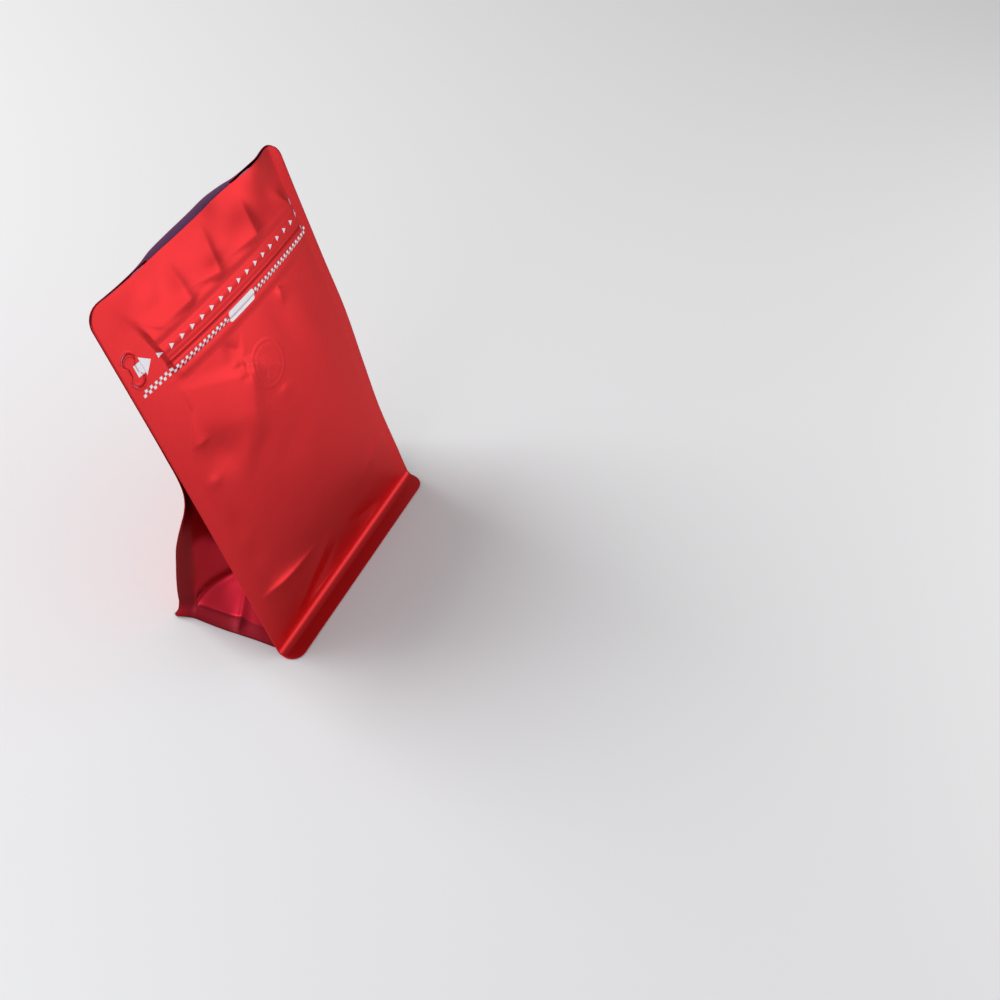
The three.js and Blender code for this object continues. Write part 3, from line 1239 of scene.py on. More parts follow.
@dataclass(frozen=True)
class InkFinish:
    """Opaque white ink over the film, with the film's cool sheen.

    Attributes:
        name: Name of the material.
        color: Its colour where it is thickest.
        shade: Its colour where it is thin.
        roughness: Of the ink.
        metallic: How much of the film's sheen comes through.
        cloud_size: Size of its mottled patches, in millimetres.
        grain: Strength of the fine grain.
    """

    name: str = "white_ink"
    color: Triple = (0.92, 0.9, 0.93)
    shade: Triple = (0.78, 0.76, 0.82)
    roughness: float = 0.45
    metallic: float = 0.35
    cloud_size: float = 2.5
    grain: float = 0.15

    def build(self, effects: Effects) -> bpy.types.Material:
        """Makes the material.

        Args:
            effects: The shared shader groups.

        Returns:
            The new material.
        """
        material = bpy.data.materials.new(self.name)
        material.use_nodes = True
        tree = material.node_tree
        shader = tree.nodes["Principled BSDF"]
        shader.inputs["Metallic"].default_value = self.metallic
        shader.inputs["Roughness"].default_value = self.roughness
        grain = add_node(tree, "ShaderNodeGroup", node_tree=effects.grain)
        grain.inputs["Cloud Size"].default_value = self.cloud_size
        blend = add_node(tree, "ShaderNodeMix", data_type="RGBA")
        blend.inputs["A"].default_value = (*self.color, 1)
        blend.inputs["B"].default_value = (*self.shade, 1)
        tree.links.new(grain.outputs["Tone"], blend.inputs["Factor"])
        tree.links.new(blend.outputs["Result"], shader.inputs["Base Color"])
        bump = add_node(tree, "ShaderNodeBump", in_Strength=self.grain, in_Distance=0.05 * MM)
        tree.links.new(grain.outputs["Height"], bump.inputs["Height"])
        tree.links.new(bump.outputs[0], shader.inputs["Normal"])
        return material


@dataclass
class Palette:
    """The finishes of the bag, built once."""

    effects: Effects
    red: FoilFinish = FoilFinish("red_foil_film", (0.62, 0.012, 0.016), (0.57, 0.01, 0.014))
    # The gussets' film: the red film painted darker as painted shade, with its seals painted
    # darker still.
    side: FoilFinish = FoilFinish(
        "red_foil_side_painted_shade", (0.38, 0.004, 0.016), (0.33, 0.003, 0.013), roughness=0.33, coat=0.2,
        seal_painted_shade=0.5,
    )
    lining: FoilFinish = FoilFinish(
        "foil_lining", (0.68, 0.42, 0.68), (0.58, 0.36, 0.6), roughness=0.4, metallic=0.3,
        coat=0.0,
    )
    ink: InkFinish = InkFinish()
    made: dict[Finish, bpy.types.Material] = field(default_factory=dict)

    def get(self, finish: Finish) -> bpy.types.Material:
        """The material of a finish, made the first time it is asked for.

        Args:
            finish: Which finish.

        Returns:
            The material.
        """
        if finish not in self.made:
            self.made[finish] = getattr(self, finish.value).build(self.effects)
        return self.made[finish]

    def dress(self, piece: bpy.types.Object, *finishes: Finish) -> None:
        """Gives a piece its materials in slot order."""
        for finish in finishes:
            piece.data.materials.append(self.get(finish))


# ---- the bag's webs --------------------------------------------------------------


def spaced(start: float, end: float, step: float) -> Points:
    """Evenly spaced places from start up to, but without, end."""
    count = max(1, round((end - start) / step))
    return np.linspace(start, end, count, endpoint=False)


def runs_of(*runs: Run) -> Points:
    """Evenly spaced places in each (start, end, count), one run after the other."""
    return np.concatenate([np.linspace(*run) for run in runs])


@dataclass
class WallWeb:
    """The front or the back wall: a sheet with round corners and a flared foot.

    Attributes:
        film: Its form.
        facing: +1 for the front, -1 for the back.
        fin: Its bottom seal.
        columns: Points across the web.
        fin_rows: Rows in the bottom seal.
        bend_rows: Rows from there to bend_top.
        lip_rows: Rows in the round corners at the lip.
        bend_top: Film height from which the rows stand step apart.
        step: Millimetres between rows.
        fine_step: The same in the fine ranges.
    """

    film: FrontFilm | BackFilm
    facing: int
    fin: Fin
    columns: int = 190
    fin_rows: int = 36
    bend_rows: int = 20
    lip_rows: int = 14
    bend_top: float = 14.0
    step: float = 0.75
    fine_step: float = 0.25

    def rows(self, fine: tuple[Pair, ...]) -> Points:
        """Film heights of the grid's rows, closer together in the fine ranges.

        Args:
            fine: Ranges of v that need closer rows.

        Returns:
            Rising film heights, from the foot to the lip.
        """
        shape = BagShape()
        quarter = np.linspace(0, math.pi / 2, self.lip_rows)
        lip = shape.height - shape.lip_corner * (1 - np.sin(quarter))
        start = shape.fin_start(self.fin)
        marks = [runs_of((0, start, self.fin_rows), (start, self.bend_top, self.bend_rows))]
        at = self.bend_top + 0.3
        for low, high in (*fine, (lip[0], lip[0])):
            marks.append(spaced(at, low, self.step))
            if high > low:
                marks.append(spaced(low, high, self.fine_step))
            at = high
        return np.unique(np.concatenate([*marks, lip]).round(4))

    def grid(self, fine: tuple[Pair, ...]) -> tuple[Points, Points]:
        """u and v of each grid point, with the corners rounded off.

        Args:
            fine: Ranges of v that need closer rows.

        Returns:
            Two (rows, columns) arrays.
        """
        shape = BagShape()
        v = self.rows(fine)
        inset = shape.edge_inset(v, self.fin)
        share = np.linspace(0, 1, self.columns)[None, :]
        u = mix(inset[:, None], shape.width - inset[:, None], share)
        return u, np.broadcast_to(v[:, None], u.shape).copy()

    def build(self, name: str, palette: Palette, fine: tuple[Pair, ...] = ()) -> bpy.types.Object:
        """Makes the web.

        Args:
            name: Name of the piece.
            palette: The finishes.
            fine: Ranges of v that need closer rows.

        Returns:
            The sheet with its thickness and materials.
        """
        u, v = self.grid(fine)
        sunk = -self.film.under(u, v) if isinstance(self.film, FrontFilm) else 0.0
        points = self.film.point(u, v, sunk)
        seal = self.film.seals.mask(u, v)
        faces = grid_faces(*u.shape, self.facing)
        piece = new_object(name, points, faces, np.stack([u, v, seal], -1))
        thicken(piece, BagShape().film)
        # Sealed faces take the second pair of slots, so that their inner side is red as well, in
        # the side finish: red film painted darker as painted shade.
        palette.dress(piece, Finish.RED, Finish.LINING, Finish.RED, Finish.SIDE)
        sealed = seal.ravel()[np.array(faces)[:, 0]] > 0.5
        piece.data.polygons.foreach_set("material_index", np.where(sealed, 2, 0).astype(np.int32))
        return piece


@dataclass
class SideGusset:
    """A side web: sealed edges, a V of two panels, and a triangle that opens at the foot.

    Every row of its grid is one height, from the front edge round to the back edge.

    Attributes:
        front: The front that it is sealed to.
        back: The back that it is sealed to.
        side: The side of the bag that it closes.
        front_seal: Width of its seal to the front.
        back_seal: Width of its seal to the back.
        edge: How far its edges lie inside the walls' edges.
        layer: How far it lies beneath a wall's outer face.
        apex: (x, y, z) of the triangle's top, with x counted outwards.
        band_height: Height of the bottom seal.
        crease: y of the triangle's centre crease at the foot.
        press: (depth, width) of that crease.
        belly: Height of the soft swelling behind it.
        valley: (depth, width) of the fold along the triangle's back edge.
        ripple: Height of the loose film's ripple.
        open_span: Start and length of the rise in which the flared back seal closes.
        tip_span: Start and length of the rise from the triangle to the fold tip's own place.
        hug_span: Start and length of the rise in which the fold tip nears the front.
        snug_span: Start and length of the rise in which the panels close on the walls.
        loose_span: Height at which the ripple has faded out, and the length of its fade.
        tip_room: Distance kept between the fold tip's middle and a wall.
        tip_radii: Half the blunt fold's thickness and its depth.
        snug_gap: Distance kept between a panel and the seals' layer.
        least_inner: Least distance from the side edge at which a snug panel ends.
        leave: Distances from the side edge between which the panel leaves the back wall.
        seal_top: Height at which the side seals have faded out, and the length of their fade.
        seal_fade: Grid columns over which their inner border fades.
        triangle_span: y at which the triangle begins and ends.
        foot_line: (y, distance from the middle) of the foot's outline.
        band_line: The same at the top of the bottom seal.
        half_widths: (z, width) of one panel.
        flare: (v, angle) by which the open back seal turns forwards.
        counts: Points across a seal, a panel and the triangle.
        foot_gap: Height of the lowest row.
        row_steps: Millimetres between rows in the bottom seal, the triangle and above it.
        passes: How many times the rows are smoothed.
    """

    front: FrontFilm
    back: BackFilm
    side: Side
    front_seal: float = 7.0
    back_seal: float = 6.0
    edge: float = 0.4
    layer: float = 0.42
    apex: Triple = (45.0, -5.0, 34.0)
    band_height: float = 7.5
    crease: float = -4.2
    press: Pair = (1.7, 2.1)
    belly: float = 0.6
    valley: Pair = (0.45, 6.0)
    ripple: float = 0.35
    open_span: Pair = (62, 42)
    tip_span: Pair = (33, 40)
    hug_span: Pair = (120, 70)
    snug_span: Pair = (105, 60)
    loose_span: Pair = (105, 25)
    tip_room: float = 0.75
    tip_radii: Pair = (0.45, 0.35)
    snug_gap: float = 0.1
    least_inner: float = 12
    leave: Pair = (18, 22)
    seal_top: Pair = (170, 30)
    seal_fade: float = 8
    triangle_span: Pair = (-26, 19)
    foot_line: tuple[Pair, ...] = (
        (-40, 61), (-31, 61.9), (-22, 62.3), (-12, 62.9), (-2.7, 63.9), (4.4, 64.5), (13, 64.9),
        (22, 65.0), (32, 65.0),
    )
    band_line: tuple[Pair, ...] = (
        (-28, 59.5), (-16, 57.6), (-5, 59.2), (1, 59.4), (11, 60.3), (22, 61.6), (27, 62.2),
    )
    half_widths: tuple[Pair, ...] = (
        (0, 28), (33, 29.9), (60, 32), (100, 35), (120, 36), (200, 36),
    )
    flare: tuple[Pair, ...] = ((0, 1.6), (3, 1.45), (8.3, 1.1), (20, 0.95), (35, 0.85), (70, 0.7))
    counts: tuple[int, int, int] = (9, 54, 38)
    foot_gap: float = 0.35
    row_steps: Triple = (0.5, 0.6, 0.9)
    passes: int = 16

    @property
    def sign(self) -> int:
        """+1 for the left gusset, whose inward direction is +x, and -1 for the right."""
        return -self.side.value

    def film_u(self, across: Points) -> Points:
        """Film place on the front and the back, from this side's edge inwards."""
        return across if self.side is Side.LEFT else BagShape().width - across

    def seal_strip(self, wall: FrontFilm | BackFilm, width: float, v: Points) -> Points:
        """The strip sealed inside a wall, from the edge inwards.

        Args:
            wall: The front or the back.
            width: Width of the seal.
            v: (rows, 1) film heights.

        Returns:
            (rows, columns, 3) points.
        """
        shape = BagShape()
        fin = shape.front_fin if wall is self.front else shape.back_fin
        inset = self.edge + shape.edge_inset(v, fin)
        share = np.linspace(0, 1, self.counts[0])[None, :]
        across = mix(inset, np.maximum(width, inset + 1), share)
        u, v = self.film_u(across), v + 0 * across
        finned = wall.point(u, v, -self.layer)
        if wall is self.front:
            return finned
        strip = wall.wall(u, v, -self.layer)
        corner = wall.wall(self.film_u(self.edge + 0 * v), v, -self.layer)
        curled = (finned - strip) * (1 - ease(share / 0.75))[..., None]
        return self.flared(strip, corner, v) + curled

    def flared(self, strip: Points, edge: Points, v: Points) -> Points:
        """Turns the back seal forwards about its edge, below the closed part of the bag.

        Args:
            strip: (rows, columns, 3) points of the seal.
            edge: (rows, 1, 3) points of its edge.
            v: Film height of each point.

        Returns:
            The strip, turned where the bag is open.
        """
        reach = lengths((strip - edge)[..., :2])[..., 0]
        angle = curve_through(v, self.flare)
        turned = edge + np.stack(
            [self.sign * reach * np.cos(angle), -reach * np.sin(angle), 0 * reach], -1
        )
        open_share = 1 - ramp(v, self.open_span)
        return mix(strip, turned, open_share[..., None])

    def triangle(self, z: Points) -> Points:
        """The flat triangle below the apex, at (rows, 1) heights.

        Args:
            z: (rows, 1) heights.

        Returns:
            (rows, columns, 3) points.
        """
        y = np.linspace(*self.triangle_span, self.counts[2])[None, :]
        band = np.clip(z / self.band_height, 0, 1)
        x = mix(curve_through(y, self.foot_line), curve_through(y, self.band_line), band**1.3)
        rise = np.clip((z - self.band_height) / (self.apex[2] - self.band_height), 0, 1)
        x = mix(x, self.apex[0], rise)
        bowed = np.where(y > self.apex[1], rise**1.4, rise)
        y = mix(y + 0 * z, self.apex[1] + 0.03 * y, bowed)
        return np.stack([-self.sign * x, y, z + 0 * x], -1)

    def pressed(self, y: Points, z: Points) -> Points:
        """How far the triangle's centre crease lies inside its flat form.

        Args:
            y: y of each point.
            z: Height of each point.

        Returns:
            Millimetres inwards at each point.
        """
        band = np.clip(z / self.band_height, 0, 1)
        rise = np.clip((z - self.band_height) / (self.apex[2] - self.band_height), 0, 1)
        off = y - mix(self.crease, self.apex[1], rise)
        depth, width = self.press
        crease = np.exp(-np.abs(off) / width) * (1 - rise) * band
        belly = np.exp(-(((off - 11) / 7) ** 2)) * rise * (1 - rise) * 4
        return depth * crease - self.belly * belly

    def fold_tip(self, v: Points, z: Points) -> Points:
        """The blunt fold where the two panels meet above the apex, at (rows, 1) heights.

        Args:
            v: (rows, 1) film heights.
            z: (rows, 1) heights.

        Returns:
            (rows, columns, 3) points.
        """
        edge = self.film_u(0 * v)
        front = self.front.wall(edge, v, 0.0)
        back = self.back.wall(edge, v, 0.0)
        half = curve_through(z, self.half_widths)
        gap = (back - front)[..., 1] / 2
        depth = np.sqrt(np.maximum(half**2 - gap**2, 1.0))
        place = self.film_u(depth)
        low = self.front.wall(place, v, -self.layer)[..., 1] + self.tip_room
        high = self.back.wall(place, v, -self.layer)[..., 1] - self.tip_room
        settled = ramp(z, self.tip_span)
        middle = mix((front + back)[..., 1] / 2, low, ramp(z, self.hug_span))
        y = mix(self.apex[1], np.clip(middle, low, high), settled)
        x = mix(-self.sign * self.apex[0], front[..., 0] + self.sign * depth, settled)
        turn = np.linspace(0, math.pi, self.counts[2])[None, :]
        thick, deep = self.tip_radii
        y = y - thick * np.cos(turn)
        return np.stack([x + self.sign * deep * np.sin(turn), y, z + 0 * y], -1)

    def panels(self, v: Points, z: Points, front: Points, middle: Points, back: Points) -> Points:
        """The two panels, which hug the walls near the mouth.

        Args:
            v: (rows, 1) film heights.
            z: (rows, 1) heights.
            front: The front seal strip.
            middle: The triangle or the fold tip.
            back: The back seal strip, from the fold outwards.

        Returns:
            The front panel's and the back panel's points.
        """
        share = np.linspace(0, 1, self.counts[1] + 2)[None, 1:-1]
        panel_a = mix(front[:, -1:], middle[:, :1], share[..., None])
        panel_b = mix(middle[:, -1:], back[:, :1], share[..., None])
        near = ramp(z, self.snug_span)[..., None]
        depth = np.abs(middle[:, :1, 0] - front[:, :1, 0])
        inner = np.maximum(depth, self.least_inner)
        across = mix(self.front_seal, inner, share)
        snug = self.front.wall(self.film_u(across), v + 0 * across, -self.layer - self.snug_gap)
        panel_a = mix(panel_a, snug, near)
        across = mix(inner, self.back_seal, share)
        laid = self.back.wall(self.film_u(across), v + 0 * across, -self.layer - self.snug_gap)
        begins, ends = self.leave
        leaving = ramp(across, (begins, np.maximum(depth, ends) - begins))[..., None]
        return panel_a, mix(panel_b, mix(laid, panel_b, leaving), near)

    def heights(self) -> Points:
        """Heights of the grid's rows, close together at the foot and the lip.

        Returns:
            Rising heights, in millimetres.
        """
        shape = BagShape()
        rounding = shape.height - shape.lip_corner
        quarter = np.linspace(0, math.pi / 2, 12)[1:]
        top = (rounding + shape.lip_corner * np.sin(quarter)) * math.cos(shape.lean)
        marks = (self.foot_gap, self.band_height, self.apex[2], rounding * math.cos(shape.lean))
        spans = zip(marks, marks[1:], self.row_steps)
        return np.concatenate([*(spaced(*span) for span in spans), top])

    def seal_mask(self, ends: Points, z: Points) -> Points:
        """1 on the sealed film, 0 on the loose film.

        Args:
            ends: Grid columns from each point to the nearer side edge.
            z: Height of each point.

        Returns:
            Both side seals, which fade out towards the mouth, and the bottom seal, but not the
            very corners of the foot. The side finish paints the seals darker by this mask, as
            painted shade.
        """
        top, fade = self.seal_top
        side = 1 - ease((ends - self.counts[0] + 3) / self.seal_fade)
        foot = 1 - ease((z - self.band_height) / 0.8 + 0.5)
        seal = np.maximum(side * ease((top - z) / fade), foot)
        corner = (1 - ramp(ends, (2, 4))) * (1 - ramp(z, (4, 6)))
        return seal * (1 - corner)

    def build(self, name: str, palette: Palette) -> bpy.types.Object:
        """Makes the gusset's web with its creases and soft dents.

        Args:
            name: Name of the piece.
            palette: The finishes.

        Returns:
            The web with its thickness and materials.
        """
        z = self.heights()[:, None]
        v = z / math.cos(BagShape().lean)
        front = self.seal_strip(self.front, self.front_seal, v)
        back = self.seal_strip(self.back, self.back_seal, v)[:, ::-1]
        low = z[:, 0] < self.apex[2]
        middle = np.where(low[:, None, None], self.triangle(z), self.fold_tip(v, z))
        panel_a, panel_b = self.panels(v, z, front, middle, back)
        lines = np.concatenate([front, panel_a, middle, panel_b, back], 1)
        for _ in range(self.passes):
            lines[:, 1:-1] = (lines[:, :-2] + 2 * lines[:, 1:-1] + lines[:, 2:]) / 4
        rows, columns = lines.shape[:2]
        column = np.broadcast_to(np.arange(columns), (rows, columns))
        place = np.broadcast_to(z, (rows, columns))
        seal = self.seal_mask(np.minimum(column, columns - 1 - column), place)
        run = np.cumsum(lengths(np.diff(lines, axis=1, prepend=lines[:, :1]))[..., 0], 1)
        fold = columns - self.counts[0] - self.counts[1]
        depth, width = self.valley
        beside = (run - run[:, fold:fold + 1]) / width
        below = ease((self.apex[2] - place) / 8) * ramp(place, (3, 8))
        valley = depth * below * np.exp(-(beside**2))
        lines[..., 0] += self.sign * (valley + self.pressed(lines[..., 1], place))
        loose_top, fade = self.loose_span
        free = (1 - seal) * ease((loose_top - place) / fade)
        ripple = self.ripple * np.sin(place / 7.5 + column / 9.0)
        ripple = ripple * np.sin(place / 17 + column / 31.0 + 1)
        lines[..., 0] += self.sign * free * ripple
        faces = grid_faces(rows, columns, -self.sign)
        piece = new_object(name, lines, faces, np.stack([run, place, seal], -1))
        thicken(piece, BagShape().film)
        # Its outer side is the side finish: red film painted darker as painted shade.
        palette.dress(piece, Finish.SIDE, Finish.LINING)
        return piece


@dataclass
class BaseWeb:
    """The flat base: a sheet that domes up a little between its sealed fins.

    Attributes:
        front_reach: Distance from the middle to its front edge.
        back_reach: Distance to its back edge.
        half_width: Half its width, from which the dome's slope is measured.
        outline: (y, half width) of the sheet.
        height: Of its sealed border's upper face.
        dome: How far its middle rises.
        flat: Width of the flat border round the dome.
        slope: Width of the dome's slope.
        fold: (depth, width) of the centre fold, its depth as a share of the rise.
        counts: Points from front to back and across.
    """

    front_reach: float = 38.6
    back_reach: float = 31.5
    half_width: float = 64
    outline: tuple[Pair, ...] = (
        (-38.6, 46), (-36, 50), (-32, 54), (-28, 58), (-22, 61.2), (-12, 62.3), (-2.7, 63.2),
        (4.4, 63.9), (14, 64.2), (19, 63.8), (22, 61.5), (24.2, 57), (25.6, 50), (27.5, 43),
        (29.5, 36), (31.5, 26),
    )
    height: float = 0.3
    dome: float = 1.6
    flat: float = 8
    slope: float = 20
    fold: Pair = (0.5, 1.5)
    counts: tuple[int, int] = (120, 200)

    def build(self, palette: Palette) -> bpy.types.Object:
        """Makes the base's web with its centre fold.

        Args:
            palette: The finishes.

        Returns:
            The sheet with its thickness and materials.
        """
        y = np.linspace(-self.front_reach, self.back_reach, self.counts[0])
        edge = np.minimum(y + self.front_reach, self.back_reach - y)
        reach = curve_through(y, self.outline)
        share = np.linspace(-1, 1, self.counts[1])[None, :]
        x = reach[:, None] * share
        y = np.broadcast_to(y[:, None], x.shape)
        side = (1 - np.abs(share)) * self.half_width
        room = np.minimum(np.minimum(edge[:, None], side) - self.flat, self.slope)
        rise = self.dome * ease(room / self.slope)
        fold = -self.fold[0] * np.exp(-np.abs(y) / self.fold[1]) * ease(room / self.flat)
        z = self.height + rise + fold * rise
        seal = 1 - ease((room + 1) / 0.8 + 0.5)
        film = np.stack([x, y, seal + 0 * x], -1)
        piece = new_object("base_web", np.stack([x, y, z], -1), grid_faces(*x.shape, 1), film)
        thicken(piece, BagShape().film)
        # Its underside is the side finish: red film painted darker as painted shade.
        palette.dress(piece, Finish.LINING, Finish.SIDE)
        return enlist(piece, Slot.RED_FILM, "base_panel")


# ---- skins over the embossed details ---------------------------------------------


@dataclass
class DetailSkins:
    """Finely meshed film over the zip, the tear tab and the valve.

    Attributes:
        film: The front that they lie on.
        palette: The finishes.
        lift: How far a skin stands out of the front, and dips under it at its border.
        thickness: Of the skins.
        zip_border: Width of the zip's border, in which its skin dips.
        zip_step: Millimetres between the rows over the zip.
        valve_border: Width of the valve's border.
        valve_angles: Points round the valve.
        valve_rings: Shares of the skin's radius at which its rings of points lie.
        tab_border: Width of the tab's border, as a share of the tab.
        tab_angles: Points round the tab.
        tab_rings: Shares of the tab at which its rings of points lie, within the border.
    """

    film: FrontFilm
    palette: Palette
    lift: float = 0.02
    thickness: float = 0.08
    zip_border: float = 3.5
    zip_step: float = 0.13
    valve_border: float = 3.0
    valve_angles: int = 240
    valve_rings: tuple[Run, ...] = ((0.03, 0.54, 36), (0.55, 0.83, 42), (0.85, 1, 8))
    tab_border: float = 0.4
    tab_angles: int = 200
    tab_rings: tuple[Run, ...] = ((0.05, 0.75, 12), (0.78, 1.16, 46))

    def skin(self, node: str, u: Points, v: Points, border: Points, faces: Faces) -> None:
        """Makes one skin.

        Args:
            node: The frame's node that it stands for.
            u: Across the film.
            v: Up the film.
            border: 1 within the skin, 0 at its border, where it dips under the web.
            faces: Faces over the points.
        """
        points = self.film.point(u, v, mix(-self.lift, self.lift, border))
        film = np.stack([u, v, self.film.seals.mask(u, v)], -1)
        piece = new_object(f"{node}_film", points, faces, film)
        thicken(piece, self.thickness)
        self.palette.dress(piece, Finish.RED, Finish.RED)
        enlist(piece, Slot.RED_FILM, node)

    def zip_band(self) -> None:
        """Makes the film over the zip's rails."""
        band = self.film.band
        across = np.linspace(band.left - band.beyond_left, band.right + band.beyond_right, 245)
        u, v = np.meshgrid(across, np.arange(band.low, band.high, self.zip_step))
        border = ease(band.from_border(u, v) / self.zip_border)
        self.skin("zip_band", u, v, border, grid_faces(*u.shape, 1))

    def ringed(
        self, centre: Pair, reach: Points, angles: Points, shares: Points
    ) -> tuple[Points, Points, Faces]:
        """A grid of rings round a point.

        Args:
            centre: Its middle on the film.
            reach: Radius at each angle where the share is 1.
            angles: Directions round it, without the last that closes it.
            shares: Shares of the reach, from near 0 outwards.

        Returns:
            u, v and the faces, with a fan at the middle.
        """
        radius = shares[:, None] * reach[None, :]
        u = np.append(centre[0] + radius * np.cos(angles), centre[0])
        v = np.append(centre[1] + radius * np.sin(angles), centre[1])
        count = len(angles)
        around = np.arange(count)
        after = (around + 1) % count
        faces = [(len(u) - 1, a, b) for a, b in zip(around.tolist(), after.tolist())]
        for ring in range(len(shares) - 1):
            low, high = ring * count, (ring + 1) * count
            quads = np.stack([low + around, high + around, high + after, low + after], -1)
            faces += quads.tolist()
        return u, v, faces

    def valve(self) -> None:
        """Makes the film over the valve's ring and disc."""
        valve = self.film.valve
        angles = np.linspace(0, 2 * math.pi, self.valve_angles, endpoint=False)
        reach = np.full(angles.shape, valve.skin)
        u, v, faces = self.ringed(valve.centre, reach, angles, runs_of(*self.valve_rings))
        away = np.hypot(u - valve.centre[0], v - valve.centre[1])
        self.skin("valve", u, v, ease((valve.skin - away) / self.valve_border), faces)

    def tear_tab(self) -> None:
        """Makes the film round the tab's cut."""
        tab = self.film.tab
        angles = np.linspace(0, 2 * math.pi, self.tab_angles, endpoint=False)
        shares = runs_of(*self.tab_rings, (1.2, tab.skin, 12))
        u, v, faces = self.ringed(tab.centre, tab.radius(angles), angles, shares)
        border = ease((tab.skin - tab.place(u, v)) / self.tab_border)
        self.skin("tear_tab", u, v, border, faces)


@dataclass
class ZipTrack:
    """The press-to-close strips inside the bag, behind the embossed band.

    Attributes:
        film: The front that they are welded to.
        left: u of the track's left end.
        right: u of its right end.
        low: v of its lower edge.
        high: v of its upper edge.
        ribs: v of each rib.
        rib_height: How far a rib stands out of the strip.
        rib_width: Half a rib's width.
        base: Height of the strip itself.
        gap: Distance from the film's inner face.
        thickness: Of the strip's and the ribs' walls.
    """

    film: FrontFilm
    left: float = 21.0
    right: float = 121.0
    low: float = 160.0
    high: float = 171.5
    ribs: tuple[float, ...] = (164.4, 167.2)
    rib_height: float = 0.9
    rib_width: float = 0.45
    base: float = 0.35
    gap: float = 0.2
    thickness: float = 0.3

    def build(self, palette: Palette) -> bpy.types.Object:
        """Makes the strip and its ribs as one closed piece.

        Args:
            palette: The finishes.

        Returns:
            The track.
        """
        across = np.linspace(self.left, self.right, 120)
        u, v = np.meshgrid(across, np.arange(self.low, self.high, 0.2))
        depth = self.base + sum(
            self.rib_height * np.exp(-(((v - rib) / self.rib_width) ** 4)) for rib in self.ribs
        )
        below = self.film.band.lift(u, v) + BagShape().film + self.gap
        points = self.film.point(u, v, -below - depth)
        film = np.stack([u, v, 0 * u], -1)
        piece = new_object("zip_track", points, grid_faces(*u.shape, -1), film)
        thicken(piece, self.thickness)
        palette.dress(piece, Finish.LINING, Finish.LINING)
        return enlist(piece, Slot.INNER_FOIL)


# ---- printed marks ---------------------------------------------------------------


